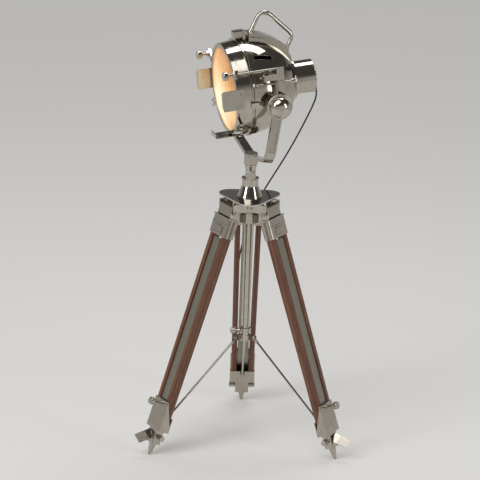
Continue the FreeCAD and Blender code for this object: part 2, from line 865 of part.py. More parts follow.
def envelope():
    # The filled outer form of the dome, for seating what stands on it.
    edges = polyline([
        rim(domeEnd, domeAt(domeEnd, domeCurve)),
        rim(domeEnd, 0),
        rim(bodyFront, 0),
        rim(bodyFront, bodyFlangeRadius),
        rim(bodyFlangeBack, bodyFlangeRadius),
        rim(bodyFlangeBack, domeRadius),
        rim(domeStart, domeRadius),
    ])
    edges.append(domeArc(domeStart, domeEnd, 0))
    return revolved(edges, axisX)


def around(shape, angle):
    # Turns a piece built at the top of the lamp house round the optical axis, toward its left side.
    return turned(shape, -angle, axisX)


def louvre(angle):
    low = Vector(-louvreEnd, -louvreWide / 2, domeRadius - louvreDeep)
    return around(block(low, Vector(-louvreStart, louvreWide / 2, domeRadius + 6)), angle)


def drumBody():
    inner = domeEnd - sheet
    edges = polyline([
        rim(domeEnd, domeAt(domeEnd, domeCurve)),
        rim(domeEnd, rearMouth),
        rim(inner, rearMouth),
        rim(inner, domeAt(inner, domeCurve - sheet)),
    ])
    edges.append(domeArc(inner, domeStart, -sheet))
    edges += polyline([
        rim(domeStart, domeRadius - sheet),
        rim(lipBack, domeRadius - sheet),
        rim(lipBack, gasketInside),
        rim(bodyFront, gasketInside),
        rim(bodyFront, bodyFlangeRadius),
        rim(bodyFlangeBack, bodyFlangeRadius),
        rim(bodyFlangeBack, domeRadius),
        rim(domeStart, domeRadius),
    ])
    edges.append(domeArc(domeStart, domeEnd, 0))
    shell = revolved(edges, axisX)
    rodAngle = math.degrees(math.atan2(lowerRodOut, lowerRodUp))
    rodReach = math.hypot(lowerRodOut, lowerRodUp)
    low = Vector(-bodyFlangeBack, -9, domeRadius - 2)
    lug = block(low, Vector(-bodyFront, 9, rodReach + 7))
    shell = fuse([shell, around(lug, rodAngle), around(lug, -rodAngle)])
    for side in (-1, 1):
        shell = shell.cut(louvre(side * louvreAngle))
        rod = cylinder(upperRodRadius, 40, Vector(-bodyFlangeBack - 2, side * lowerRodOut, lowerRodUp), axisX)
        shell = shell.cut(rod)
    low = Vector(-ventEnd, -ventWide / 2, domeRadius - ventDeep)
    vent = block(low, Vector(-ventFront, ventWide / 2, domeRadius + 4))
    return onAxis(shell.cut(vent))


def bezel():
    edges = polyline([
        rim(0, rimInside),
        rim(0, rimRadius - 2),
        rim(2, rimRadius),
        rim(bezelFlangeFront, bezelBackRadius),
        rim(bezelFlangeFront, bezelFlangeRadius),
        rim(gasketFront, bezelFlangeRadius),
        rim(gasketFront, bezelBackRadius - rimThick),
        rim(bezelFlangeFront, bezelBackRadius - rimThick),
        rim(rimThick, rimRadius - rimThick),
        rim(rimThick, rimInside),
        rim(0, rimInside),
    ])
    shell = revolved(edges, axisX)
    rodAngle = math.degrees(math.atan2(upperRodOut, upperRodUp))
    rodReach = math.hypot(upperRodOut, upperRodUp)
    low = Vector(-8, -lugWide / 2, rimRadius - 2.5)
    lug = block(low, Vector(2, lugWide / 2, rodReach + 12))
    slot = block(Vector(-9, -rodSlotHalf, rodReach - 6), Vector(3, rodSlotHalf, rodReach + 13))
    lug = lug.cut(slot)
    lugs = []
    for angle in (rodAngle, 180 - rodAngle):
        for side in (-1, 1):
            lugs.append(around(lug, side * angle))
    shell = fuse([shell] + lugs)
    for angle in holderAngles:
        for screw in holderScrews(angle):
            shell = shell.cut(screw)
    return onAxis(shell)


def gasket():
    return onAxis(ring(gasketOutside, gasketInside, gasketThick, Vector(-bodyFront, 0, 0), axisX))


def capArc(edge, front, sag, fraction):
    # A point on the bulge of the lens, at a fraction of its edge radius.
    curve = (edge ** 2 + sag ** 2) / (2 * sag)
    radius = edge * fraction
    return rim(front - sag + curve - math.sqrt(curve ** 2 - radius ** 2), radius)


def lens():
    outer = rimInside - 0.6
    inner = outer - 3
    back = rimThick + lensEdge
    frontTop = rim(rimThick - lensSag, 0)
    backTop = rim(back - lensSag, 0)
    edges = polyline([
        rim(back, inner),
        rim(back, lensRadius),
        rim(rimThick, lensRadius),
        rim(rimThick, outer),
    ])
    edges.append(arcThrough(rim(rimThick, outer), capArc(outer, rimThick, lensSag, 0.5), frontTop))
    edges += polyline([frontTop, backTop])
    edges.append(arcThrough(backTop, capArc(inner, back, lensSag, 0.5), rim(back, inner)))
    return onAxis(revolved(edges, axisX))


def lensRing():
    back = rimThick + lensEdge + lensRingThick
    return onAxis(ring(lensRadius, lensRingInside, lensRingThick, Vector(-back, 0, 0), axisX))


def reflector():
    front = lipBack
    end = front + reflectorDepth
    middle = front + reflectorDepth * 0.68
    middleRadius = reflectorRadius * 0.75
    outside = domeRadius - sheet - 1
    t = reflectorSheet
    near = [rim(front, reflectorRadius), rim(middle, middleRadius), rim(end, reflectorHole)]
    far = [
        rim(end + t, reflectorHole),
        rim(middle + t, middleRadius + t),
        rim(front + t, reflectorRadius + t),
    ]
    edges = polyline([rim(front, outside), near[0]])
    edges.append(arcThrough(near[0], near[1], near[2]))
    edges += polyline([near[2], far[0]])
    edges.append(arcThrough(far[0], far[1], far[2]))
    edges += polyline([far[2], rim(front + t, outside), rim(front, outside)])
    return onAxis(revolved(edges, axisX))


def bulbGlass():
    globe = Part.makeSphere(bulbRadius, Vector(-bulbStation, 0, 0))
    neckLength = holderFront - 12 - bulbStation
    neck = cylinder(bulbNeckRadius, neckLength, Vector(-bulbStation, 0, 0), Vector(-1, 0, 0))
    return onAxis(fuse([globe, neck]))


def bulbCap():
    start = Vector(-holderFront + 12, 0, 0)
    shell = cylinder(bulbNeckRadius, bulbCapLength, start, Vector(-1, 0, 0))
    tip = cylinder(5, 3, Vector(-holderFront + 12 - bulbCapLength, 0, 0), Vector(-1, 0, 0))
    return onAxis(fuse([shell, tip]))


def lampHolder():
    capEnd = holderFront - 12 + bulbCapLength + 3
    body = cylinder(holderRadius, capEnd + 16 - holderFront, Vector(-holderFront, 0, 0), Vector(-1, 0, 0))
    start = Vector(-holderFront, 0, 0)
    body = body.cut(cylinder(bulbNeckRadius + running, capEnd - 3 - holderFront, start, Vector(-1, 0, 0)))
    return onAxis(body.cut(cylinder(5 + running, 20, Vector(-capEnd + 17, 0, 0), Vector(-1, 0, 0))))


def lampCarrier():
    holderEnd = holderFront - 12 + bulbCapLength + 3 + 16
    stem = cylinder(12, carrierStation - holderEnd, Vector(-holderEnd, 0, 0), Vector(-1, 0, 0))
    start = Vector(-carrierStation, 0, 0)
    disc = cylinder(rearRadius - rearWall - seat, carrierThick, start, Vector(-1, 0, 0))
    return onAxis(fuse([stem, disc]))


def terminalBlock():
    start = carrierStation + carrierThick
    return onAxis(roundedBlock(Vector(-start - 16, -17, -10), Vector(-start, 17, 10), 2, axisX))


def rearHousing():
    tube = ring(rearRadius, rearRadius - rearWall, rearEnd - domeEnd, Vector(-rearEnd, 0, 0), axisX)
    start = Vector(-domeEnd - rearRingThick, 0, 0)
    collar = ring(rearRingRadius, rearRadius - rearWall, rearRingThick, start, axisX)
    return onAxis(fuse([tube, collar]))


def capScrews():
    screws = []
    for turn in range(4):
        angle = math.radians(45 + 90 * turn)
        y = capScrewCircle * math.cos(angle)
        z = capScrewCircle * math.sin(angle)
        head = cylinder(4.5, 2.5, Vector(-rearEnd - capThick, y, z), Vector(-1, 0, 0))
        shank = cylinder(2, capThick + 8, Vector(-rearEnd + 8, y, z), Vector(-1, 0, 0))
        screws.append(onAxis(fuse([head, shank])))
    return screws


def rearCap():
    disc = cylinder(rearRadius, capThick, Vector(-rearEnd, 0, 0), Vector(-1, 0, 0))
    disc = disc.makeFillet(1.2, [disc.Edges[2]])
    lip = ring(rearRadius - rearWall - running, rearRadius - 12, 10, Vector(-rearEnd, 0, 0), axisX)
    body = onAxis(fuse([disc, lip]))
    for screw in capScrews():
        body = body.cut(screw)
    return body


def glandElbow():
    return at(rearEnd + capThick + 9, glandOut, glandUp)


def glandDirection():
    slope = math.radians(glandSlope)
    return Vector(-math.cos(slope), 0, -math.sin(slope))


def cordGland():
    # A nut on the rear cap, an elbow, and a ribbed sleeve that points down.
    nut = aim(hexagon(8.5, 6), at(rearEnd + capThick, glandOut, glandUp), Vector(-1, 0, 0))
    neck = cylinder(6, 9, at(rearEnd + capThick, glandOut, glandUp), Vector(-1, 0, 0))
    elbow = Part.makeSphere(6.5, glandElbow())
    sleeve = Part.makeCone(6.5, glandMouth, glandLength, glandElbow(), glandDirection())
    body = fuse([nut, neck, elbow, sleeve])
    for count in range(4):
        spot = glandElbow().add(glandDirection() * (8.5 + 3.6 * count))
        body = body.cut(ring(9, 4.0, 1.2, spot, glandDirection()))
    return body


def hoodOutline(inset, low, wide):
    # The vent hood follows the top of the dome, wall to wall.
    start = hoodFront + inset
    end = hoodEnd - inset
    outer = [rim(station, domeAt(station, domeCurve + low)) for station in (start, end)]
    inner = [rim(station, domeAt(station, domeCurve - hoodRoot)) for station in (start, end)]
    edges = [domeArc(start, end, low)] + polyline([outer[1], inner[1]])
    edges += [domeArc(end, start, -hoodRoot)] + polyline([inner[0], outer[0]])
    face = Part.Face(Part.Wire(edges))
    return moved(face.extrude(Vector(0, wide, 0)), 0, -wide / 2, 0)


def hoodSolid():
    return fuse([hoodOutline(0, hoodHigh - 6, hoodWide), hoodOutline(4, hoodTopHigh, hoodTopWide)])


def ventHood():
    inside = hoodOutline(4 + hoodSheet, hoodTopHigh - hoodSheet, hoodTopWide - 2 * hoodSheet)
    return onAxis(hoodSolid().cut(inside).cut(envelope()))


def carryHandle():
    corners = [Vector(-handleFront, 0, domeAt(handleFront, domeCurve) + 10), rim(handleTopAt, handleTop)]
    corners += [rim(handleRearAt, handleRear), rim(handleEndAt, domeAt(handleEndAt, domeCurve) + 8)]
    path = bentPath(corners, [handleBend, handleBend])
    circle = Part.Wire(Part.makeCircle(handleRadius, corners[0], corners[1].sub(corners[0])))
    rod = path.makePipeShell([circle], True, True)
    return onAxis(rod.cut(hoodSolid()).cut(envelope()))


def bentPath(corners, radii):
    # Straight runs joined by tangent arcs.
    edges = []
    last = corners[0]
    for before, corner, after, radius in zip(corners, corners[1:], corners[2:], radii):
        inward = before.sub(corner)
        inward.normalize()
        outward = after.sub(corner)
        outward.normalize()
        half = inward.getAngle(outward) / 2
        reach = radius / math.tan(half)
        bisector = inward.add(outward)
        bisector.normalize()
        middle = corner.add(bisector * (radius / math.sin(half) - radius))
        start = corner.add(inward * reach)
        end = corner.add(outward * reach)
        edges.append(Part.LineSegment(last, start).toShape())
        edges.append(Part.Arc(start, middle, end).toShape())
        last = end
    edges.append(Part.LineSegment(last, corners[-1]).toShape())
    return Part.Wire(edges)


# Top catch: a lever that hooks over the joint between rim and body
def catchPinPoint():
    return Vector(-catchPinAt, 0, catchPinUp)


def topCatch():
    half = catchWide / 2
    front = -bezelFlangeFront + 6
    low = Vector(-catchPinAt - 7, -half, bodyFlangeRadius + 4)
    lever = roundedBlock(low, Vector(front, half, catchPinUp + 9), 3, axisY)
    low = Vector(-catchPinAt + 4, -half + 6, catchPinUp + 8)
    panel = block(low, Vector(-bezelFlangeFront, half - 6, catchPinUp + 11))
    low = Vector(-bezelFlangeFront + 0.5, -half, bezelBackRadius + 3)
    hook = block(low, Vector(front, half, catchPinUp))
    body = fuse([lever, panel, hook])
    start = catchPinPoint().add(Vector(0, -half - 1, 0))
    hole = cylinder(catchPinRadius + running, catchWide + 2, start, axisY)
    return onAxis(body.cut(hole))


def catchMount():
    shapes = []
    half = catchWide / 2 + seat
    for side in (-1, 1):
        low = min(side * half, side * (half + 3))
        high = Vector(-catchPinAt + 5, low + 3, catchPinUp)
        ear = block(Vector(-catchPinAt - 5, low, domeRadius - 14), high)
        tip = cylinder(5, 3, Vector(-catchPinAt, low, catchPinUp), axisY)
        shapes.append(fuse([ear, tip]).cut(envelope()))
    pin = cylinder(catchPinRadius, 2 * half + 10, Vector(-catchPinAt, -half - 5, catchPinUp), axisY)
    return onAxis(fuse(shapes + [pin]))


# Side brackets carry the trunnions, the clamp rods and the tie rods.
def sideBracket(side):
    inside = bracketInside
    outside = bracketInside + bracketThick
    disc = cylinder(yokeEndRadius - 1, bracketThick, at(pivotStation, inside, -axisAbovePivot), axisY)
    low = at(pivotStation + 32, inside, -axisAbovePivot)
    high = at(pivotStation + 32 - bracketWide, outside, upperRodUp + 10)
    strap = block(low, high)
    arm = block(at(pivotStation + 20, inside, armUp - 11), at(armFront, outside, armUp + 11))
    bossStart = at(pivotStation, bracketRoot, -axisAbovePivot)
    boss = cylinder(trunnionBoss, inside - bracketRoot, bossStart, axisY)
    posts = []
    for station in (armFront + 11, armFront + 38):
        posts.append(cylinder(9, outside + 3 - bracketRoot, at(station, bracketRoot, armUp), axisY))
    low = at(upperRodRear, upperRodOut - 9, upperRodUp - 9)
    ear = block(low, at(upperRodRear - 12, inside + 1, upperRodUp + 9))
    low = at(pivotStation + 28, inside - 5, lowerRodUp - 8)
    tie = block(low, at(pivotStation + 10, outside + 2.5, lowerRodUp + 8))
    stud = cylinder(pivotRadius, yokeThick + 26, at(pivotStation, outside - 1, -axisAbovePivot), axisY)
    low = at(pivotStation + 29, bracketRoot, -axisAbovePivot - 4)
    rib = block(low, at(pivotStation + 12, inside, -axisAbovePivot + 4))
    body = fuse([disc, strap, arm, boss, ear, tie, stud, rib] + posts)
    shell = onAxis(envelope())
    body = body.cut(shell)
    rod = cylinder(upperRodRadius + running, 40, at(upperRodRear + 10, upperRodOut, upperRodUp), axisX)
    tieRod = cylinder(upperRodRadius, 60, at(pivotStation + 40, lowerRodOut, lowerRodUp), axisX)
    body = body.cut(rod).cut(tieRod)
    return body if side > 0 else body.mirror(origin, axisY)


def frictionWasher(side):
    start = bracketInside + bracketThick
    thick = yokeInside - start - seat
    washer = ring(washerRadius, pivotRadius, thick, Vector(0, start, 0), axisY)
    return washer if side > 0 else washer.mirror(origin, axisY)


def tiltKnob(side):
    start = yokeInside + yokeThick + seat
    studEnd = bracketInside + bracketThick - 1 + yokeThick + 26
    flange = cylinder(domeKnobRadius, domeKnobFlange, Vector(0, 0, start), axisZ)
    flange = flange.makeFillet(2.5, [flange.Edges[0], flange.Edges[2]])
    base = start + domeKnobFlange
    foot = Vector(domeKnobRadius - 8, 0, base)
    shoulder = Vector(foot.x * 0.74, 0, base + domeKnobHigh * 0.72)
    top = Vector(0, 0, base + domeKnobHigh)
    low = base - 2
    edges = polyline([Vector(0, 0, low), Vector(foot.x, 0, low), foot])
    edges.append(arcThrough(foot, shoulder, top))
    edges += polyline([top, Vector(0, 0, low)])
    body = fuse([flange, revolved(edges, axisZ)])
    body = body.cut(cylinder(pivotRadius + running, studEnd + seat, origin, axisZ))
    return aim(body, origin, Vector(0, side, 0))


def clampRod(side):
    grip = moved(knob(rodKnobRadius, rodKnobLength, 4), 0, 0, -upperRodFront - 9)
    rod = cylinder(upperRodRadius, upperRodRear - upperRodFront, Vector(0, 0, -upperRodRear), axisZ)
    nut = moved(hexagon(rodNutRadius, rodNutLength), 0, 0, 2 + seat)
    neck = cylinder(upperRodRadius + 2.5, 6, Vector(0, 0, -upperRodFront - 14), axisZ)
    return aim(fuse([grip, rod, nut, neck]), at(0, side * upperRodOut, upperRodUp), axisX)


def tieRod(side):
    rod = cylinder(upperRodRadius, lowerRodRear - bodyFront + 6, Vector(0, 0, -lowerRodRear), axisZ)
    head = moved(hexagon(8, 6), 0, 0, -bodyFront)
    tail = cylinder(7, 14, Vector(0, 0, -lowerRodRear), axisZ)
    return aim(fuse([rod, head, tail]), at(0, side * lowerRodOut, lowerRodUp), axisX)


# Flange clamps hold the rim to the body all round.
def flangeClamp(angle):
    outline = [
        rim(clampFront, bezelBackRadius + 1.4),
        rim(clampFront, bodyFlangeRadius + 8),
        rim(clampBack, bodyFlangeRadius + 8),
        rim(clampBack, domeRadius + 1),
        rim(bodyFlangeBack, domeRadius + 1),
        rim(bodyFlangeBack, bodyFlangeRadius + 0.3),
        rim(bezelFlangeFront, bodyFlangeRadius + 0.3),
        rim(bezelFlangeFront, bezelBackRadius + 1.4),
    ]
    body = moved(prism(outline, Vector(0, clampWide, 0)), 0, -clampWide / 2, 0)
    boltAt = rim(clampBack, domeRadius + clampNutRadius + seat)
    nut = aim(hexagon(clampNutRadius, 5), boltAt, Vector(-1, 0, 0))
    bolt = cylinder(3, 8, boltAt, Vector(-1, 0, 0))
    return onAxis(around(fuse([body, nut, bolt]), angle))


# Filter holders: flat channels screwed on the rim, with a lip at the front
def filterHolder(angle):
    half = holderWide / 2
    inside = bezelRadiusAt(holderBack) + seat
    front = holderLong - holderBack
    plate = block(Vector(-holderBack, -half, inside), Vector(front, half, inside + holderThick))
    corners = []
    for edge in plate.Edges:
        if abs(edge.Length - holderThick) < 0.01:
            corners.append(edge)
    plate = plate.makeFillet(holderCorner, corners)
    low = Vector(front - holderThick, -half + 9, inside - holderLip)
    lip = block(low, Vector(front, half - 9, inside + 1))
    body = fuse([plate, lip])
    for screw in holderScrews(0):
        body = body.cut(screw)
    return onAxis(around(body, angle))


def bezelRadiusAt(station):
    return rimRadius + (bezelBackRadius - rimRadius) * (station - 2) / (bezelFlangeFront - 2)


def holderScrews(angle):
    screws = []
    inside = bezelRadiusAt(holderBack) + seat
    for side in (-1, 1):
        base = Vector(-12, side * 19, inside + holderThick)
        head = cylinder(5, 2.5, base, axisZ)
        shank = cylinder(2.5, holderScrewReach + 1, base.sub(Vector(0, 0, holderScrewReach)), axisZ)
        screws.append(around(fuse([head, shank]), angle))
    return screws


# Switch on the rear of the dome
def switchFrame():
    station = switchStation
    outward = Vector(domeStart - station, 0, domeAt(station, domeCurve) - (domeRadius - domeCurve))
    outward.normalize()
    spot = rim(station, domeAt(station, domeCurve))
    return FreeCAD.Placement(spot, FreeCAD.Rotation(axisZ, outward))


def switchBase():
    base = cylinder(13, 9, Vector(0, 0, -5), axisZ)
    return onAxis(around(placed(base, switchFrame()).cut(envelope()), switchAngle))


def switchKnob():
    grip = moved(knob(10.5, 13, 9), 0, 0, 4 + seat)
    pointer = block(Vector(-1, 2, 4 + seat + 12), Vector(1, 9, 4 + seat + 14))
    return onAxis(around(placed(fuse([grip, pointer]), switchFrame()), switchAngle))


# The cord hangs from the gland to the back leg, lies down the leg's outer face
# and is wound up on the stem of that leg's lock knob, with its plug below.
backLeg = legPlacement(legAzimuths["back"])

# Corners of the hanging stretch, on the floor's frame, their heights counted from the hinges
freeCorners = [
    Vector(216, -34, hingeHeight + 362),
    Vector(184, -25, hingeHeight + 288),
    Vector(147, -15, hingeHeight + 208),
    Vector(105, -5, hingeHeight + 128),
    Vector(64, 4, hingeHeight + 55),
    Vector(34, 13.5, hingeHeight - 5.5),
]

# Corners of the stretch on the leg, in the leg's frame
runCorners = [
    Vector(9, 27.0, -78),
    Vector(-10, 22.4, -160),
    Vector(-24, 20.6, -245),
    Vector(-33, 20.4, -332),
    Vector(-38, 20.4, -421),
    Vector(-39.5, 20.4, -510),
    Vector(-38.6, 20.6, -592),
    Vector(-37.6, 23.4, -660),
    Vector(-38.6, 27.6, -706),
]


def cordExit():
    return headPlacement.multVec(glandElbow().add(glandDirection() * glandLength))


def cordExitDirection():
    return headPlacement.Rotation.multVec(glandDirection())


def cordJoint():
    # The hanging stretch passes into the lying one halfway between two corners.
    return freeCorners[-1].add(backLeg.multVec(runCorners[0])) * 0.5


def cordTube(name, points):
    radii = []
    for before, corner, after in zip(points, points[1:], points[2:]):
        turn = math.pi - before.sub(corner).getAngle(after.sub(corner))
        shorter = min(before.distanceToPoint(corner), corner.distanceToPoint(after))
        radii.append(0.45 * shorter / math.tan(turn / 2))
    print(name, "radii:", [round(radius) for radius in radii])
    path = bentPath(points, radii)
    return sweptCord(name, path)


def sweptCord(name, path):
    start = path.Edges[0].Vertexes[0].Point
    end = path.Edges[0].Vertexes[-1].Point
    circle = Part.Wire(Part.makeCircle(cordRadius, start, end.sub(start)))
    tube = path.makePipeShell([circle], True)
    share = tube.Volume / (math.pi * cordRadius ** 2 * path.Length)
    print(name, "length:", round(path.Length), "volume over section times length:", round(share, 4))
    return tube


def cordFree():
    exitRun = cordExit().add(cordExitDirection() * 8 * cordRadius)
    return cordTube("hanging cord", [cordExit(), exitRun] + freeCorners + [cordJoint()])


# Coil frame: the leg's frame, moved to the middle of the first layer
coilOuter = coilRadius + coilPitch * coilLoops / 2
coilTopRadius = coilOuter - coilPitch * (coilLoops - 0.25)
coilHang = coilTopRadius - cordRadius - lockStemRadius - seat
coilWide = (coilLayers - 1) * coilPitch
coilStartOut = bossFace + (lockStemLength - coilWide) / 2
coilMiddle = Vector(0, coilStartOut, -lockKnobAt - coilHang)


def coilPoint(turns, out):
    # A point on the coil's outer loop, counted from where the lying stretch enters it.
    angle = 2 * math.pi * turns
    return coilMiddle.add(Vector(-coilOuter * math.cos(angle), out, -coilOuter * math.sin(angle)))


def coilHeading(turns):
    angle = 2 * math.pi * turns
    return Vector(math.sin(angle), 0, -math.cos(angle))


def worldDown():
    return backLeg.Rotation.inverted().multVec(Vector(0, 0, -1))


def tailPath():
    # The end of the cord leaves the last loop and turns down to the plug.
    start = coilPoint(coilTail, coilWide)
    heading = coilHeading(coilTail)
    reach = tailRadius * math.tan(heading.getAngle(worldDown()) / 2) + cordRadius
    corner = start.add(heading * reach)
    last = corner.add(worldDown() * (reach + cordRadius))
    return bentPath([start, corner, last], [tailRadius])


def cordCoil():
    # A plain ring of the wound coil's outer shape, with the end that hangs from it.
    base = coilMiddle.sub(Vector(0, cordRadius, 0))
    inside = coilHang + lockStemRadius + seat
    winding = ring(coilOuter + cordRadius, inside, coilWide + 2 * cordRadius, base, axisY)
    return fuse([winding, sweptCord("tail", tailPath())]).cut(cordRun())


def cordRun():
    end = coilPoint(0, 0).sub(coilHeading(0) * 2 * cordRadius)
    last = end.sub(coilHeading(0) * 8 * cordRadius)
    joint = backLeg.inverse().multVec(cordJoint())
    return cordTube("lying cord", [joint] + runCorners + [last, end])


def cordPlug():
    # A round plug with a tapered sleeve and two pins, hanging from the coil's end.
    sleeve = Part.makeCone(cordRadius + 1.5, cordRadius + 4, plugSleeve, origin, axisZ)
    body = cylinder(plugRadius, plugBody, Vector(0, 0, plugSleeve), axisZ)
    body = body.makeChamfer(4, [body.Edges[2]]).makeFillet(2, [body.Edges[0]])
    body = fuse([sleeve, body])
    pins = []
    for side in (-1, 1):
        base = Vector(0, side * plugPinGap / 2, plugSleeve + plugBody - 6)
        pin = cylinder(plugPinRadius, plugPinLength + 6, base, axisZ)
        body = body.cut(pin)
        pins.append(pin)
    end = tailPath().Edges[-1].Vertexes[-1].Point
    return [aim(solid, end, worldDown()) for solid in [body] + pins]


# Everything that stands still about the tripod's axis
def saveCentre():
    pins = [hingePin(azimuth) for azimuth in legAzimuths.values()]
    pieces = {
        "head_plate": [headPlate()],
        "leg_spider": [spider()],
        "spider_fixings": plateScrews() + [columnStud()] + pins,
        "centre_post": [centrePost(), postCap()],
        "brace_hub": [braceHub()],
        "hub_lock_knob": [hubKnob()],
        "column": [column(), panWasher()],
        "pan_lock_knob": [panKnob()],
    }
    for node, solids in pieces.items():
        save(node, [placed(solid, tripodBase) for solid in solids])


def saveLegs():
    for name, azimuth in legAzimuths.items():
        leg = legPlacement(azimuth)
        pieces = {
            "leg_castings_": [legSocket(), legCollar(), bracePin()],
            "leg_stiles_": [stile(-1), stile(1)],
            "leg_bar_": [legBar()],
            "leg_lock_knob_": [lockKnob()],
            "foot_bolt_": [footBolt()],
        }
        for node, solids in pieces.items():
            save(node + name, [placed(solid, leg) for solid in solids])
        save("foot_shoe_" + name, footShoe(pedalRoll[name], leg))
        save("brace_" + name, [placed(brace(), spokePlacement(azimuth))])


def saveHead():
    save("yoke", [placed(yoke(), yokePlacement)])
    holderBolts = [onAxis(screw) for angle in holderAngles for screw in holderScrews(angle)]
    clamps = [flangeClamp(angle) for angle in clampAngles]
    pieces = {
        "drum_body": [drumBody()],
        "bezel": [bezel()],
        "door_gasket": [gasket()],
        "lens": [lens()],
        "lens_ring": [lensRing()],
        "reflector": [reflector()],
        "bulb": [bulbGlass(), bulbCap()],
        "lamp_holder": [lampHolder(), terminalBlock()],
        "lamp_carrier": [lampCarrier()],
        "rear_housing": [rearHousing()],
        "rear_cap": [rearCap()],
        "head_screws": capScrews() + holderBolts,
        "cord_gland": [cordGland()],
        "vent_hood": [ventHood()],
        "carry_handle": [carryHandle()],
        "top_catch": [topCatch()],
        "drum_hardware": [tieRod(1), tieRod(-1), catchMount()] + clamps,
        "friction_washers": [frictionWasher(1), frictionWasher(-1)],
        "filter_holders": [filterHolder(angle) for angle in holderAngles],
        "switch_base": [switchBase()],
        "switch_knob": [switchKnob()],
        "side_brackets": [sideBracket(1), sideBracket(-1)],
    }
    for side, word in ((1, "near"), (-1, "far")):
        pieces["tilt_knob_" + word] = [tiltKnob(side)]
        pieces["clamp_rod_" + word] = [clampRod(side)]
    for node, solids in pieces.items():
        save(node, [placed(solid, headPlacement) for solid in solids])


def saveCord():
    save("cord_free", [cordFree()])
    save("cord_run", [placed(cordRun(), backLeg)])
    save("cord_coil", [placed(cordCoil(), backLeg)])
    save("cord_plug", [placed(solid, backLeg) for solid in cordPlug()])


saveCentre()
saveLegs()
saveHead()
saveCord()
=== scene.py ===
# Dresses a nickel searchlight on a wooden tripod and sets it in a plain pale studio.
import math
import bmesh
import bpy
from mathutils import Matrix, Vector


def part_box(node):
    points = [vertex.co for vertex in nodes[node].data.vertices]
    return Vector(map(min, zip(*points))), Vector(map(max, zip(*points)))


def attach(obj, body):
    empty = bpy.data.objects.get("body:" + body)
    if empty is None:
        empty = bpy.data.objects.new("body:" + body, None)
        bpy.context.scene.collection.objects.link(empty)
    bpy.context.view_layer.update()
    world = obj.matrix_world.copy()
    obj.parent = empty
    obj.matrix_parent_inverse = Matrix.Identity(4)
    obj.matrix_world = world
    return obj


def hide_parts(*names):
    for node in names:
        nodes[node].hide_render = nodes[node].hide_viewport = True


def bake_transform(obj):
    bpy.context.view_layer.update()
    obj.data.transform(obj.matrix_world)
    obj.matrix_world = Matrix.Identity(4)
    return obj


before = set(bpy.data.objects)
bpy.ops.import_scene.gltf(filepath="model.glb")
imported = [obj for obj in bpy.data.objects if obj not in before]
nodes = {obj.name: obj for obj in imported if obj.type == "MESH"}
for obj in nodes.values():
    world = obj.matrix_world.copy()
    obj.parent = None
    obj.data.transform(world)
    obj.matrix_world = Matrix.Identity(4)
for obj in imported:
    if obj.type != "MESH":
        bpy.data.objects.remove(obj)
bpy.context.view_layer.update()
scene = bpy.context.scene
print("frame loaded:", len(nodes), "parts")

# Where things stand: the tripod's legs, the tilt pivot with the way it is turned, and the lamp's front and axis
stand = {"legAzimuth": {"left": 210, "right": 330, "back": 90}, "hingeOut": 0.085, "hingeUp": 0.900,
         "footOut": 0.3965}
aim = {"pan": 196.3, "tilt": 6.5, "pivotBack": 0.034, "pivotUp": 1.329}
lamp = {"front": 0.140, "axisUp": 0.037}


def middleOf(node):
    low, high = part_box(node)
    return (Vector(low) + Vector(high)) / 2


tripodAxis = Matrix.Translation((middleOf("centre_post").x, middleOf("centre_post").y, 0))


def turn(degrees, axis):
    return Matrix.Rotation(math.radians(degrees), 4, axis)


def legFrame(side):
    # x runs along the hinge pin, y outward, z up the leg
    spread = math.degrees(math.atan2(stand["footOut"] - stand["hingeOut"], stand["hingeUp"]))
    hinge = Matrix.Translation((0, stand["hingeOut"], stand["hingeUp"])) @ turn(spread, "X")
    return tripodAxis @ turn(stand["legAzimuth"][side] - 90, "Z") @ hinge


def lampFrame():
    # the origin is the tilt pivot, x points to the lens, z up
    pivot = Matrix.Translation((-aim["pivotBack"], 0, aim["pivotUp"]))
    return tripodAxis @ turn(aim["pan"], "Z") @ pivot @ turn(aim["tilt"], "Y")


def onLampAxis():
    # the origin is on the optical axis at the front rim, so what lies behind the rim has a negative x
    return lampFrame() @ Matrix.Translation((lamp["front"], 0, lamp["axisUp"]))


def addObject(name, data):
    piece = bpy.data.objects.new(name, data)
    scene.collection.objects.link(piece)
    return piece


# Camera, at the height and distance from which the lamp was looked at
view = {"place": (-0.170, -8.832, 3.478), "pitch": 17.21, "yaw": 0.916, "roll": 1.838, "lens": 186.7,
        "sensor": 36, "farthest": 100}


def placeCamera():
    data = bpy.data.cameras.new("camera")
    data.lens = view["lens"]
    data.sensor_width = view["sensor"]
    data.clip_end = view["farthest"]
    camera = addObject("camera", data)
    heading = turn(-view["yaw"], "Z") @ turn(90 - view["pitch"], "X") @ turn(view["roll"], "Z")
    camera.matrix_world = Matrix.Translation(view["place"]) @ heading
    scene.camera = camera


placeCamera()
print("camera placed")


# Small helpers for node trees
def setInputs(tree, node, inputs):
    # each input is linked to a socket or set to a plain value
    for key, value in inputs.items():
        if isinstance(value, bpy.types.NodeSocket):
            tree.links.new(value, node.inputs[key])
        else:
            node.inputs[key].default_value = value


def addNode(tree, kind, inputs=None, **settings):
    node = tree.nodes.new(kind)
    for key, value in settings.items():
        setattr(node, key, value)
    setInputs(tree, node, inputs or {})
    return node


def maths(tree, operation, first, second=0.0, clamp=False):
    inputs = {0: first, 1: second}
    return addNode(tree, "ShaderNodeMath", inputs, operation=operation, use_clamp=clamp).outputs[0]


def times(tree, first, second, clamp=False):
    return maths(tree, "MULTIPLY", first, second, clamp)


def plus(tree, first, second, clamp=False):
    return maths(tree, "ADD", first, second, clamp)


def noise(tree, vector, scale, detail, **more):
    inputs = {"Vector": vector, "Scale": scale, "Detail": detail, **more}
    return addNode(tree, "ShaderNodeTexNoise", inputs).outputs


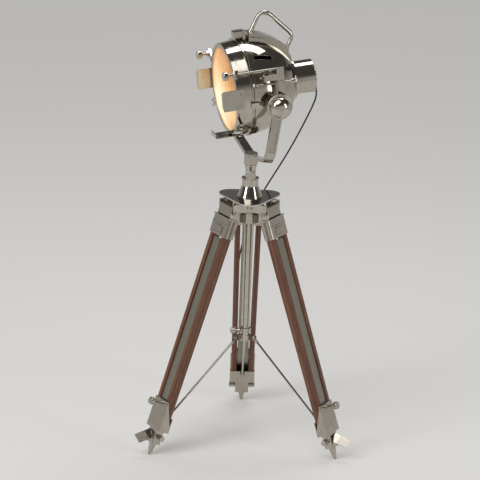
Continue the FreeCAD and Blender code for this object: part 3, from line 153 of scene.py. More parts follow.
def bumped(tree, height, distance, normal=None):
    inputs = {"Height": height, "Distance": distance, "Strength": 1.0}
    if normal:
        inputs["Normal"] = normal
    return addNode(tree, "ShaderNodeBump", inputs).outputs[0]


def ramp(tree, factor, stops):
    node = addNode(tree, "ShaderNodeValToRGB", {"Fac": factor})
    elements = node.color_ramp.elements
    while len(elements) < len(stops):
        elements.new(0.5)
    for element, (place, colour) in zip(elements, stops):
        element.position = place
        element.color = (*colour, 1) if isinstance(colour, tuple) else (colour, colour, colour, 1)
    return node.outputs["Color"]


def blendColour(tree, factor, first, second):
    # the mix node's factor is its input 0, its colours are 6 and 7
    node = addNode(tree, "ShaderNodeMix", data_type="RGBA")
    for place, value in ((0, factor), (6, first), (7, second)):
        setInputs(tree, node, {place: (*value, 1) if isinstance(value, tuple) else value})
    return node.outputs[2]


def newGroup(name, inputs, outputs, kind="ShaderNodeTree"):
    tree = bpy.data.node_groups.new(name, kind)
    for way, sockets in (("INPUT", inputs), ("OUTPUT", outputs)):
        for label, value in sockets.items():
            tree.interface.new_socket(label, in_out=way, socket_type="NodeSocket" + value)
    return tree, tree.nodes.new("NodeGroupInput").outputs, tree.nodes.new("NodeGroupOutput")


def useGroup(tree, group, inputs):
    return addNode(tree, "ShaderNodeGroup", inputs, node_tree=group).outputs


def newMaterial(name):
    material = bpy.data.materials.new(name)
    material.use_nodes = True
    return material, material.node_tree, material.node_tree.nodes["Principled BSDF"]


def ownCoordinates(tree):
    return addNode(tree, "ShaderNodeTexCoord").outputs["Object"]


def placedCoordinates(tree, matrix):
    # Object coordinates, carried into a part's own frame
    place, heading, size = matrix.decompose()
    inputs = {"Vector": ownCoordinates(tree), "Location": place, "Rotation": heading.to_euler()}
    return addNode(tree, "ShaderNodeMapping", inputs, vector_type="TEXTURE").outputs[0]


def stretched(tree, vector, scale):
    return addNode(tree, "ShaderNodeMapping", {"Vector": vector, "Scale": scale}).outputs[0]


# Small helpers for meshes
def meshObject(name, vertices, faces, matrix=Matrix.Identity(4), smooth=True):
    mesh = bpy.data.meshes.new(name)
    mesh.from_pydata([matrix @ Vector(vertex) for vertex in vertices], [], faces)
    work = bmesh.new()
    work.from_mesh(mesh)
    bmesh.ops.remove_doubles(work, verts=work.verts, dist=1e-6)
    bmesh.ops.recalc_face_normals(work, faces=work.faces)
    work.to_mesh(mesh)
    work.free()
    for polygon in mesh.polygons:
        polygon.use_smooth = smooth
    return addObject(name, mesh)


def settledMesh(piece):
    # the plain mesh that an object's curve or modifiers make
    return bpy.data.meshes.new_from_object(piece.evaluated_get(bpy.context.evaluated_depsgraph_get()))


def plainMesh(piece):
    plain = addObject(piece.name, settledMesh(piece))
    name = piece.name
    bpy.data.objects.remove(piece)
    plain.name = name
    return plain


# Shared effects
polish = {"markStops": [(0.42, 0.0), (0.70, 1.0)], "speckFineness": 22.0, "speckStops": [(0.04, 1.0), (0.12, 0.0)],
          "bevelSamples": 5, "edgeGain": 5.0, "edgeBreaks": 160.0}


def buildPolishGroup():
    # Handling marks, soft waves of hand polishing and rounded, rubbed edges
    tree, given, finish = newGroup(
        "polishedSurface",
        {"Vector": "Vector", "Mark Scale": "Float", "Wave Scale": "Float", "Wave Height": "Float",
         "Edge Width": "Float"},
        {"Marks": "Float", "Specks": "Float", "Edges": "Float", "Normal": "Vector"},
    )
    vector = given["Vector"]
    cloud = noise(tree, vector, given["Mark Scale"], 7.0, Roughness=0.62, Distortion=0.6)["Fac"]
    fineScale = times(tree, given["Mark Scale"], polish["speckFineness"])
    specks = addNode(tree, "ShaderNodeTexVoronoi", {"Vector": vector, "Scale": fineScale}).outputs["Distance"]
    width = {"Radius": given["Edge Width"]}
    rounded = addNode(tree, "ShaderNodeBevel", width, samples=polish["bevelSamples"]).outputs[0]
    facing = addNode(tree, "ShaderNodeNewGeometry").outputs["True Normal"]
    same = addNode(tree, "ShaderNodeVectorMath", {0: rounded, 1: facing}, operation="DOT_PRODUCT").outputs["Value"]
    edge = times(tree, maths(tree, "SUBTRACT", 1.0, same), polish["edgeGain"], True)
    broken = noise(tree, vector, polish["edgeBreaks"], 3.0)["Fac"]
    wave = noise(tree, vector, given["Wave Scale"], 1.0)["Fac"]
    setInputs(tree, finish, {
        "Marks": ramp(tree, cloud, polish["markStops"]),
        "Specks": ramp(tree, specks, polish["speckStops"]),
        "Edges": times(tree, edge, broken),
        "Normal": bumped(tree, wave, given["Wave Height"], rounded),
    })
    return tree


def buildHairlineGroup():
    # Fine lines left by a lathe or a brush; the vector is stretched across them
    tree, given, finish = newGroup(
        "hairlines",
        {"Vector": "Vector", "Height": "Float", "Normal": "Vector"},
        {"Lines": "Float", "Normal": "Vector"},
    )
    coarse = noise(tree, given["Vector"], 1.0, 5.0, Roughness=0.75)["Fac"]
    setInputs(tree, finish, {
        "Lines": coarse,
        "Normal": bumped(tree, coarse, given["Height"], given["Normal"]),
    })
    return tree


timber = {"wander": (9, 9, 1.6), "drift": 0.030, "heart": (0.11, 0.07, 0), "taper": (1, 1, 0.05),
          "fibres": (900, 900, 14), "pits": (1500, 1500, 45), "poreStops": [(0.60, 0.0), (0.70, 1.0)],
          "ringShare": 0.28, "fibreShare": 0.66, "fibreRelief": 0.35}


def buildWoodGroup():
    # Mahogany: ribbon figure, long fibres and short dark pores, all along z
    tree, given, finish = newGroup(
        "mahoganyGrain",
        {"Vector": "Vector", "Ring Scale": "Float", "Pore Depth": "Float", "Normal": "Vector"},
        {"Figure": "Float", "Pores": "Float", "Normal": "Vector"},
    )
    vector = given["Vector"]
    wander = noise(tree, stretched(tree, vector, timber["wander"]), 1.0, 3.0)["Color"]
    inputs = {0: wander, "Scale": timber["drift"]}
    drift = addNode(tree, "ShaderNodeVectorMath", inputs, operation="SCALE").outputs[0]
    bent = addNode(tree, "ShaderNodeVectorMath", {0: vector, 1: drift}, operation="ADD").outputs[0]
    inputs = {"Vector": bent, "Location": timber["heart"], "Scale": timber["taper"]}
    offCentre = addNode(tree, "ShaderNodeMapping", inputs).outputs[0]
    inputs = {"Vector": offCentre, "Scale": given["Ring Scale"], "Distortion": 1.4, "Detail": 3.0,
              "Detail Scale": 2.0}
    rings = addNode(tree, "ShaderNodeTexWave", inputs, wave_type="RINGS", rings_direction="Z").outputs["Fac"]
    fibres = noise(tree, stretched(tree, bent, timber["fibres"]), 1.0, 4.0, Roughness=0.7)["Fac"]
    pits = noise(tree, stretched(tree, bent, timber["pits"]), 1.0, 1.0)["Fac"]
    pores = ramp(tree, pits, timber["poreStops"])
    low = maths(tree, "SUBTRACT", times(tree, fibres, timber["fibreRelief"]), pores)
    setInputs(tree, finish, {
        "Figure": plus(tree, times(tree, rings, timber["ringShare"]), times(tree, fibres, timber["fibreShare"])),
        "Pores": pores,
        "Normal": bumped(tree, low, given["Pore Depth"], given["Normal"]),
    })
    return tree


polishGroup = buildPolishGroup()
hairlineGroup = buildHairlineGroup()
woodGroup = buildWoodGroup()
print("shared effects built")


def polished(tree, vector, look):
    return useGroup(tree, polishGroup, {
        "Vector": vector, "Mark Scale": look["scale"], "Wave Scale": look["wave"],
        "Wave Height": look["waveHeight"], "Edge Width": look["edge"],
    })


def lined(tree, vector, look, normal):
    across = stretched(tree, vector, look["lines"])
    return useGroup(tree, hairlineGroup, {"Vector": across, "Height": look["lineHeight"], "Normal": normal})


# Metals: scale, wave and lines are counts to the metre, heights and edges are metres
metalLooks = {
    "spunNickel": {
        "colour": (0.50, 0.465, 0.405), "dull": (0.33, 0.30, 0.25), "rough": 0.055, "marks": 0.10, "scale": 26,
        "wave": 7, "waveHeight": 0.00035, "edge": 0.0009, "lines": (700, 6, 6), "lineHeight": 0.0000035},
    "castNickel": {
        "colour": (0.50, 0.46, 0.40), "dull": (0.34, 0.31, 0.265), "rough": 0.08, "marks": 0.07, "scale": 34,
        "wave": 24, "waveHeight": 0.00009, "edge": 0.0013, "lines": (60, 60, 60), "lineHeight": 0.000004},
    "turnedNickel": {
        "colour": (0.53, 0.495, 0.435), "dull": (0.36, 0.33, 0.285), "rough": 0.065, "marks": 0.09, "scale": 40,
        "wave": 18, "waveHeight": 0.00008, "edge": 0.0008, "lines": (900, 20, 20), "lineHeight": 0.000003},
    "mirrorPlate": {
        "colour": (0.60, 0.58, 0.55), "dull": (0.38, 0.36, 0.33), "rough": 0.03, "marks": 0.08, "scale": 18,
        "wave": 6, "waveHeight": 0.00005, "edge": 0.0010, "lines": (20, 20, 20), "lineHeight": 0.000001},
    "machinedSteel": {
        "colour": (0.42, 0.41, 0.39), "dull": (0.20, 0.18, 0.16), "rough": 0.24, "marks": 0.20, "scale": 50,
        "wave": 25, "waveHeight": 0.00008, "edge": 0.0007, "lines": (800, 800, 25), "lineHeight": 0.00001},
    "spunAluminium": {
        "colour": (0.88, 0.84, 0.76), "dull": (0.70, 0.62, 0.50), "rough": 0.16, "marks": 0.10, "scale": 30,
        "wave": 8, "waveHeight": 0.0001, "edge": 0.0005, "lines": (900, 8, 8), "lineHeight": 0.00001},
}
wear = {"aged": 0.45, "specks": 0.35, "rubbed": 0.6, "rubBright": 1.25, "streaks": 0.5}


def metal(name, look, matrix):
    material, tree, shader = newMaterial(name)
    vector = placedCoordinates(tree, matrix)
    surface = polished(tree, vector, look)
    lines = lined(tree, vector, look, surface["Normal"])
    tint = blendColour(tree, times(tree, surface["Marks"], wear["aged"]), look["colour"], look["dull"])
    spotted = blendColour(tree, times(tree, surface["Specks"], wear["specks"]), tint, look["dull"])
    bright = tuple(min(1.0, part * wear["rubBright"]) for part in look["colour"])
    haze = times(tree, surface["Marks"], look["marks"])
    streak = times(tree, lines["Lines"], look["marks"] * wear["streaks"])
    setInputs(tree, shader, {
        "Base Color": blendColour(tree, times(tree, surface["Edges"], wear["rubbed"]), spotted, bright),
        "Metallic": 1.0,
        "Roughness": plus(tree, plus(tree, haze, streak), look["rough"], True),
        "Normal": lines["Normal"],
    })
    return material


satinLook = {
    "colour": (0.44, 0.42, 0.35), "dull": (0.27, 0.255, 0.205), "rubbed": (0.58, 0.56, 0.48), "rough": 0.23,
    "hazeRough": 0.12, "lineRough": 0.14, "edgeShare": 0.8, "anisotropy": 0.4, "scale": 30, "wave": 12,
    "waveHeight": 0.0001, "edge": 0.0010, "lines": (1100, 1100, 9), "lineHeight": 0.000022,
}


def satinMetal(name, matrix):
    # Brushed lengthwise, along z
    look = satinLook
    material, tree, shader = newMaterial(name)
    vector = placedCoordinates(tree, matrix)
    surface = polished(tree, vector, look)
    lines = lined(tree, vector, look, surface["Normal"])
    brushed = blendColour(tree, lines["Lines"], look["dull"], look["colour"])
    haze = times(tree, surface["Marks"], look["hazeRough"])
    grooves = times(tree, lines["Lines"], look["lineRough"])
    setInputs(tree, shader, {
        "Base Color": blendColour(tree, times(tree, surface["Edges"], look["edgeShare"]), brushed, look["rubbed"]),
        "Metallic": 1.0,
        "Anisotropic": look["anisotropy"],
        "Roughness": plus(tree, plus(tree, haze, grooves), look["rough"]),
        "Normal": lines["Normal"],
    })
    return material


# Wood
woodLook = {
    "stops": [(0.22, (0.055, 0.014, 0.008)), (0.50, (0.175, 0.057, 0.019)), (0.82, (0.28, 0.108, 0.036))],
    "clouds": (0.055, 0.014, 0.008), "cloudShare": 0.35, "pore": (0.012, 0.004, 0.003), "poreShare": 0.75,
    "bare": (0.36, 0.17, 0.08), "bareShare": 0.55, "rough": 0.30, "poreRough": 0.25, "markRough": 0.12,
    "coat": 0.35, "coatRough": 0.16, "scale": 14, "wave": 9, "waveHeight": 0.0002, "edge": 0.0016,
    "ringScale": 26, "poreDepth": 0.00012,
}


def mahogany(name, matrix, shift):
    look = woodLook
    material, tree, shader = newMaterial(name)
    vector = placedCoordinates(tree, matrix @ Matrix.Translation(shift))
    surface = polished(tree, vector, look)
    grain = useGroup(tree, woodGroup, {
        "Vector": vector, "Ring Scale": look["ringScale"], "Pore Depth": look["poreDepth"],
        "Normal": surface["Normal"],
    })
    body = ramp(tree, grain["Figure"], look["stops"])
    clouded = blendColour(tree, times(tree, surface["Marks"], look["cloudShare"]), body, look["clouds"])
    pored = blendColour(tree, times(tree, grain["Pores"], look["poreShare"]), clouded, look["pore"])
    openGrain = times(tree, grain["Pores"], look["poreRough"])
    handled = times(tree, surface["Marks"], look["markRough"])
    setInputs(tree, shader, {
        "Base Color": blendColour(tree, times(tree, surface["Edges"], look["bareShare"]), pored, look["bare"]),
        "Roughness": plus(tree, plus(tree, openGrain, handled), look["rough"]),
        "Normal": grain["Normal"],
        "Coat Weight": look["coat"],
        "Coat Roughness": look["coatRough"],
    })
    return material


# Rubber, moulded plastic, fibre and porcelain
softLooks = {
    "blackRubber": {"colour": (0.016, 0.016, 0.016), "worn": (0.05, 0.048, 0.045), "rough": 0.62, "scale": 55,
                    "grainScale": 900, "grain": 0.00012},
    "blackMoulding": {"colour": (0.020, 0.020, 0.021), "worn": (0.06, 0.058, 0.055), "rough": 0.34, "scale": 45,
                      "grainScale": 1500, "grain": 0.00005},
    "fibreBoard": {"colour": (0.13, 0.075, 0.045), "worn": (0.20, 0.13, 0.09), "rough": 0.75, "scale": 80,
                   "grainScale": 700, "grain": 0.0002},
    "porcelain": {"colour": (0.78, 0.76, 0.70), "worn": (0.55, 0.50, 0.42), "rough": 0.22, "scale": 60,
                  "grainScale": 300, "grain": 0.00003},
}
softShared = {"wave": 60, "waveHeight": 0.0001, "edge": 0.0007, "markShare": 0.5, "markRough": 0.15}


def softMaterial(name):
    look = {**softLooks[name], **softShared}
    material, tree, shader = newMaterial(name)
    vector = ownCoordinates(tree)
    surface = polished(tree, vector, look)
    grain = noise(tree, vector, look["grainScale"], 2.0)["Fac"]
    tint = blendColour(tree, times(tree, surface["Marks"], look["markShare"]), look["colour"], look["worn"])
    setInputs(tree, shader, {
        "Base Color": blendColour(tree, surface["Edges"], tint, look["worn"]),
        "Roughness": plus(tree, times(tree, surface["Marks"], look["markRough"]), look["rough"]),
        "Normal": bumped(tree, grain, look["grain"], surface["Normal"]),
    })
    return material


# Lit glass: brightest below the middle of the lens, deeper orange toward the rim
glow = {
    "stops": [(0.26, (1.0, 0.86, 0.56)), (0.70, (0.88, 0.53, 0.23)), (1.0, (0.56, 0.22, 0.06))],
    "strength": 0.86, "aside": 0.015, "below": 0.040, "reach": 0.185, "ribPitch": 0.0115, "ribShare": 0.11,
    "cloudScale": 11, "cloudShare": 0.55, "body": (0.04, 0.03, 0.02), "bodyShare": 0.90, "clear": 0.25,
    "ior": 1.5, "rough": 0.10, "cloudRough": 0.12, "rippleScale": 90, "ripple": 0.0002,
}


def litLens():
    material, tree, shader = newMaterial("litLens")
    vector = placedCoordinates(tree, onLampAxis())
    parts = addNode(tree, "ShaderNodeSeparateXYZ", {0: vector}).outputs
    offset = {0: 0.0, 1: plus(tree, parts["Y"], glow["aside"]), 2: plus(tree, parts["Z"], glow["below"])}
    flat = addNode(tree, "ShaderNodeCombineXYZ", offset).outputs[0]
    away = addNode(tree, "ShaderNodeVectorMath", {0: flat}, operation="LENGTH").outputs["Value"]
    ribs = maths(tree, "SINE", times(tree, parts["Y"], 2 * math.pi / glow["ribPitch"]))
    cloud = noise(tree, vector, glow["cloudScale"], 3.0)["Fac"]
    uneven = times(tree, maths(tree, "SUBTRACT", cloud, 0.5), glow["cloudShare"])
    mottle = plus(tree, times(tree, ribs, glow["ribShare"]), uneven)
    light = ramp(tree, plus(tree, maths(tree, "DIVIDE", away, glow["reach"]), mottle, True), glow["stops"])
    ripple = noise(tree, vector, glow["rippleScale"], 2.0)["Fac"]
    setInputs(tree, shader, {
        "Emission Color": light,
        "Emission Strength": glow["strength"],
        "Base Color": blendColour(tree, glow["bodyShare"], light, glow["body"]),
        "Transmission Weight": glow["clear"],
        "IOR": glow["ior"],
        "Roughness": plus(tree, times(tree, cloud, glow["cloudRough"]), glow["rough"]),
        "Normal": bumped(tree, ripple, glow["ripple"]),
    })
    return material


bulbGlow = {"stops": [(0.3, (1.0, 0.80, 0.52)), (0.7, (1.0, 0.93, 0.78))], "strength": 3.0, "frostScale": 60,
            "rough": 0.3, "frostRough": 0.2}


def litBulb():
    material, tree, shader = newMaterial("litBulb")
    frost = noise(tree, placedCoordinates(tree, onLampAxis()), bulbGlow["frostScale"], 4.0)["Fac"]
    light = ramp(tree, frost, bulbGlow["stops"])
    setInputs(tree, shader, {
        "Emission Color": light,
        "Base Color": light,
        "Emission Strength": bulbGlow["strength"],
        "Roughness": plus(tree, times(tree, frost, bulbGlow["frostRough"]), bulbGlow["rough"]),
    })
    return material


metalPlaces = {
    "spunNickel": ("spunNickel", onLampAxis()),
    "spunAluminium": ("spunAluminium", onLampAxis()),
    "turnedLamp": ("turnedNickel", lampFrame() @ turn(90, "Z")),
    "rodNickel": ("turnedNickel", lampFrame()),
    "turnedStand": ("turnedNickel", tripodAxis @ turn(90, "Y")),
    "castNickel": ("castNickel", tripodAxis),
    "mirrorPlate": ("mirrorPlate", tripodAxis),
    "machinedSteel": ("machinedSteel", tripodAxis),
}
stileShift = (0.31, 0.17, 0.4)  # no two legs are cut from the same place in the board

finishes = {name: metal(name, metalLooks[look], matrix) for name, (look, matrix) in metalPlaces.items()}
finishes["litLens"] = litLens()
finishes["litBulb"] = litBulb()
for softName in softLooks:
    finishes[softName] = softMaterial(softName)
for number, side in enumerate(stand["legAzimuth"]):
    shift = tuple(part * number for part in stileShift)
    finishes["mahogany_" + side] = mahogany("mahogany_" + side, legFrame(side), shift)
    finishes["satin_" + side] = satinMetal("satin_" + side, legFrame(side))

partFinish = {
    "spunNickel": ["drum_body", "bezel", "rear_housing", "rear_cap", "vent_hood"],
    "spunAluminium": ["reflector"],
    "turnedLamp": ["tilt_knob_near", "tilt_knob_far"],
    "rodNickel": ["clamp_rod_near", "clamp_rod_far", "drum_hardware", "carry_handle", "top_catch",
                  "filter_holders", "side_brackets"],
    "turnedStand": ["column", "centre_post", "brace_hub", "hub_lock_knob", "pan_lock_knob"],
    "castNickel": ["leg_spider", "yoke"],
    "mirrorPlate": ["head_plate"],
    "machinedSteel": ["lamp_carrier", "lens_ring", "spider_fixings"],
    "blackRubber": ["door_gasket", "cord_gland"],
    "blackMoulding": ["cord_plug", "switch_base", "switch_knob"],
    "porcelain": ["lamp_holder"],
    "fibreBoard": ["friction_washers"],
    "litBulb": ["bulb"],
}
for side in stand["legAzimuth"]:
    partFinish["castNickel"] += ["leg_castings_" + side, "foot_shoe_" + side]
    partFinish["turnedStand"] += ["leg_lock_knob_" + side, "foot_bolt_" + side, "brace_" + side]
    partFinish["mahogany_" + side] = ["leg_stiles_" + side]
    partFinish["satin_" + side] = ["leg_bar_" + side]


def dress(piece, finish):
    if piece.material_slots:
        for place in piece.material_slots:
            place.material = finishes[finish]
    else:
        piece.data.materials.append(finishes[finish])


for finish, names in partFinish.items():
    for name in names:
        dress(nodes[name], finish)
print("finishes given to the parts")


# Cord: it leaves the gland, hangs to the back leg, lies down the leg and is wound on that leg's lock knob
cord = {
    "radius": 0.003,
    "sides": 12,
    "hanging": [
        (0.228772, -0.041426, 1.337152), (0.233758, -0.039968, 1.313721), (0.216, -0.034, 1.262),
        (0.184, -0.025, 1.188), (0.147, -0.015, 1.108), (0.105, -0.005, 1.028), (0.064, 0.004, 0.955),
        (0.034, 0.0135, 0.8945),
    ],
    "onLeg": [
        (0.009, 0.0270, -0.078), (-0.010, 0.0224, -0.160), (-0.024, 0.0206, -0.245), (-0.033, 0.0204, -0.332),
        (-0.038, 0.0204, -0.421), (-0.0395, 0.0204, -0.510), (-0.0386, 0.0206, -0.592), (-0.0376, 0.0234, -0.660),
        (-0.0386, 0.0276, -0.706), (-0.0397, 0.03045, -0.741675), (-0.0397, 0.03045, -0.765675),
    ],
    "coilMiddle": (0, 0.03045, -0.771675),
    "coilRadius": 0.0397,
    "coilPitch": 0.0067,
    "loops": 2,
    "layers": 4,
    "climbTurns": 0.5,
    "tail": [(-0.01964, 0.05055, -0.80819), (-0.019644, 0.04567, -0.822274)],
    "stepsPerTurn": 16,
    "stepsPerPoint": 10,
}
backLeg = legFrame("back")


def routeSpline(name, points):
    data = bpy.data.curves.new(name, "CURVE")
    data.dimensions = "3D"
    data.resolution_u = cord["stepsPerPoint"]
    line = data.splines.new("NURBS")
    line.points.add(len(points) - 1)
    for spot, point in zip(line.points, points):
        spot.co = (*point, 1)
    line.order_u = 3  # quadratic, so it touches each leg of the route at its middle
    line.use_endpoint_u = True
    curve = addObject(name + "Route", data)
    path = [vertex.co.copy() for vertex in settledMesh(curve).vertices]
    bpy.data.objects.remove(curve)
    return path


def tubeAlong(name, path, radius, sides):
    # A round tube with its own map: u once round, v in metres along the cord
    vertices = []
    heading = (path[1] - path[0]).normalized()
    side = heading.orthogonal().normalized()
    runs = [0.0]
    for index, point in enumerate(path):
        before = path[max(index - 1, 0)]
        after = path[min(index + 1, len(path) - 1)]
        ahead = (after - before).normalized()
        side = (heading.rotation_difference(ahead) @ side).normalized()
        heading = ahead
        other = heading.cross(side)
        if index:
            runs.append(runs[-1] + (point - path[index - 1]).length)
        for step in range(sides):
            angle = 2 * math.pi * step / sides
            vertices.append(point + (side * math.cos(angle) + other * math.sin(angle)) * radius)
    faces = []
    wraps = []
    for ring in range(len(path) - 1):
        here = ring * sides
        there = here + sides
        for step in range(sides):
            ahead = (step + 1) % sides
            faces.append((here + step, here + ahead, there + ahead, there + step))
            for u, v in ((step, ring), (step + 1, ring), (step + 1, ring + 1), (step, ring + 1)):
                wraps.append((u / sides, runs[v]))
    last = (len(path) - 1) * sides
    faces.append(tuple(reversed(range(sides))))
    faces.append(tuple(range(last, last + sides)))
    wraps += [(0.5, 0.0)] * sides + [(0.5, runs[-1])] * sides
    mesh = bpy.data.meshes.new(name)
    mesh.from_pydata(vertices, [], faces)
    layer = mesh.uv_layers.new(name="alongCord")
    for loop, wrap in zip(layer.data, wraps):
        loop.uv = wrap
    for polygon in mesh.polygons:
        polygon.use_smooth = len(polygon.vertices) == 4
    return addObject(name, mesh), runs[-1]


# Cloth of the cord: strands are counted round it, picks along a metre of it; the hollows between the threads get
# painted shade
clothLook = {
    "strands": 8, "picks": 420, "deep": (0.006, 0.006, 0.006), "thread": (0.030, 0.029, 0.028),
    "dust": (0.045, 0.042, 0.038), "dustScale": 70, "dustShare": 0.35, "rough": 0.72, "threadRough": -0.15,
    "height": 0.00025, "sheen": 0.25,
}


def cordMaterial():
    # Black cloth-covered flex: a fine slanted weave that follows the cord's own map
    look = clothLook
    material, tree, shader = newMaterial("clothFlex")
    wrap = addNode(tree, "ShaderNodeUVMap", uv_map="alongCord").outputs[0]
    parts = addNode(tree, "ShaderNodeSeparateXYZ", {0: wrap}).outputs
    strands = times(tree, parts["X"], look["strands"])
    along = times(tree, parts["Y"], look["picks"])
    rising, falling = [
        maths(tree, "SINE", times(tree, maths(tree, lay, along, strands), 2 * math.pi))
        for lay in ("ADD", "SUBTRACT")
    ]
    weave = maths(tree, "MAXIMUM", rising, falling)
    lift = addNode(tree, "ShaderNodeMapRange", {"Value": weave, "From Min": -1.0, "From Max": 1.0}).outputs[0]
    dust = times(tree, noise(tree, ownCoordinates(tree), look["dustScale"], 4.0)["Fac"], look["dustShare"])
    # the low parts of the weave take a much darker colour: painted shade in the hollows between the threads
    thread = blendColour(tree, lift, look["deep"], look["thread"])
    setInputs(tree, shader, {
        "Base Color": blendColour(tree, dust, thread, look["dust"]),
        "Roughness": plus(tree, times(tree, lift, look["threadRough"]), look["rough"]),
        "Normal": bumped(tree, lift, look["height"]),
        "Sheen Weight": look["sheen"],
    })
    return material


def halfway(first, second):
    return (Vector(first) + Vector(second)) / 2


def coilSpot(turns):
    # The loops spiral in and out at a steady rate and climb a layer where the spiral reverses
    inward = turns % (2 * cord["loops"])
    inward = min(inward, 2 * cord["loops"] - inward)
    if turns > cord["loops"] * cord["layers"]:
        inward = -inward
    radius = cord["coilRadius"] - cord["coilPitch"] * inward
    out = 0
    for layer in range(1, cord["layers"]):
        climb = (turns - layer * cord["loops"] + cord["climbTurns"] / 2) / cord["climbTurns"]
        out += cord["coilPitch"] * min(max(climb, 0), 1)
    angle = 2 * math.pi * turns
    # a quadratic spline runs inside its points, by this share of the radius
    reach = radius / (1 - math.pi ** 2 / (4 * cord["stepsPerTurn"] ** 2))
    return Vector(cord["coilMiddle"]) + Vector((-reach * math.cos(angle), out, -reach * math.sin(angle)))


finishes["clothFlex"] = cordMaterial()


def layCord():
    hanging = [Vector(point) for point in cord["hanging"]]
    onLeg = [backLeg @ Vector(point) for point in cord["onLeg"]]
    joint = halfway(hanging[-1], onLeg[0])
    change = halfway(hanging[3], hanging[4])
    count = cord["loops"] * cord["layers"] * cord["stepsPerTurn"]
    winding = [backLeg @ coilSpot(step / cord["stepsPerTurn"]) for step in range(count + 3)]
    tail = [backLeg @ Vector(point) for point in cord["tail"]]
    stretches = {
        "cordUpper": (hanging[:4] + [change], "object", "hanging"),
        "cordLower": ([change] + hanging[4:] + [joint], "object", "hanging"),
        "cordRun": ([joint] + onLeg, "object", "taut"),
        "cordCoil": ([onLeg[-1]] + winding + tail, "plug", "coiled"),
    }
    tubes = {}
    for name, (points, farEnd, lay) in stretches.items():
        path = routeSpline(name, points)
        tube, length = tubeAlong(name, path, cord["radius"], cord["sides"])
        dress(tube, "clothFlex")
        tubes[name] = tube
        print(name, "is", round(length, 3), "m long")
    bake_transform(tubes["cordUpper"])
    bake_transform(tubes["cordLower"])
    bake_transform(tubes["cordRun"])
    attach(tubes["cordCoil"], "leg_back")
    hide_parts("cord_free")
    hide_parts("cord_free")
    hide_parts("cord_run")
    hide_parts("cord_coil")


layCord()
print("cord laid")


# Lens: a bulged pane with upright flutes pressed in its face
pane = {"edge": 0.1494, "flange": 0.163, "front": 0.003, "thick": 0.005, "bulge": 0.024, "backInset": 0.003,
        "ribDepth": 0.0009, "ribFade": 0.012, "faceSlack": 0.001, "rings": 44, "steps": 224}


def lathe(name, profile, steps, matrix, shape=None):
    # profile holds (x, radius) pairs and starts and ends on the axis
    vertices = []
    rings = []
    for along, radius in profile:
        if radius < 1e-6:
            rings.append([len(vertices)])
            vertices.append((along, 0, 0))
            continue
        rings.append(list(range(len(vertices), len(vertices) + steps)))
        for step in range(steps):
            angle = 2 * math.pi * step / steps
            vertices.append((along, radius * math.cos(angle), radius * math.sin(angle)))
    faces = []
    for inner, outer in zip(rings, rings[1:]):
        for step in range(steps):
            ahead = (step + 1) % steps
            if len(inner) == 1:
                faces.append((inner[0], outer[step], outer[ahead]))
            elif len(outer) == 1:
                faces.append((inner[step], outer[0], inner[ahead]))
            else:
                faces.append((inner[step], outer[step], outer[ahead], inner[ahead]))
    if shape:
        vertices = [shape(Vector(vertex)) for vertex in vertices]
    return meshObject(name, vertices, faces, matrix)


def capHeight(radius, edge, bulge):
    curve = (edge ** 2 + bulge ** 2) / (2 * bulge)
    return bulge - curve + math.sqrt(curve ** 2 - radius ** 2)


def flute(vertex):
    # only the bulged front face is fluted, and the flutes fade out at its edge
    radius = math.hypot(vertex.y, vertex.z)
    face = capHeight(min(radius, pane["edge"]), pane["edge"], pane["bulge"]) - pane["front"]
    if radius > pane["edge"] or vertex.x < face - pane["faceSlack"]:
        return vertex
    fade = min(1.0, (pane["edge"] - radius) / pane["ribFade"])
    wave = 0.5 - 0.5 * math.cos(2 * math.pi * vertex.y / glow["ribPitch"])
    return vertex - Vector((pane["ribDepth"] * wave * fade, 0, 0))


def makeLens():
    front = []
    back = []
    backEdge = pane["edge"] - pane["backInset"]
    backStart = pane["front"] + pane["thick"]
    for ring in range(pane["rings"] + 1):
        radius = pane["edge"] * ring / pane["rings"]
        front.append((capHeight(radius, pane["edge"], pane["bulge"]) - pane["front"], radius))
        inner = backEdge * ring / pane["rings"]
        back.append((capHeight(inner, backEdge, pane["bulge"]) - backStart, inner))
    flange = [(-pane["front"], pane["flange"]), (-backStart, pane["flange"])]
    lens = lathe("ribbedLens", front + flange + back[::-1], pane["steps"], onLampAxis(), flute)
    dress(lens, "litLens")
    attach(lens, "lamp_head")
    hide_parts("lens")


makeLens()
print("lens pressed")


# Geometry trees: copies set on points, for screws and rivets, and a ring of ribs, for grips
def finishCopies(tree, result, copies, finish, start=None):
    # every tree ends as real geometry in one finish; start lifts it along z
    shape = addNode(tree, "GeometryNodeRealizeInstances", {"Geometry": copies.outputs[0]})
    if start:
        lift = addNode(tree, "ShaderNodeCombineXYZ", {2: start}).outputs[0]
        shape = addNode(tree, "GeometryNodeTransform", {"Geometry": shape.outputs[0], "Translation": lift})
    done = addNode(tree, "GeometryNodeSetMaterial", {"Geometry": shape.outputs[0], "Material": finish})
    tree.links.new(done.outputs[0], result.inputs["Geometry"])
    return tree


def facingTo(tree, vector, axis):
    return addNode(tree, "FunctionNodeAlignRotationToVector", {"Vector": vector}, axis=axis).outputs["Rotation"]


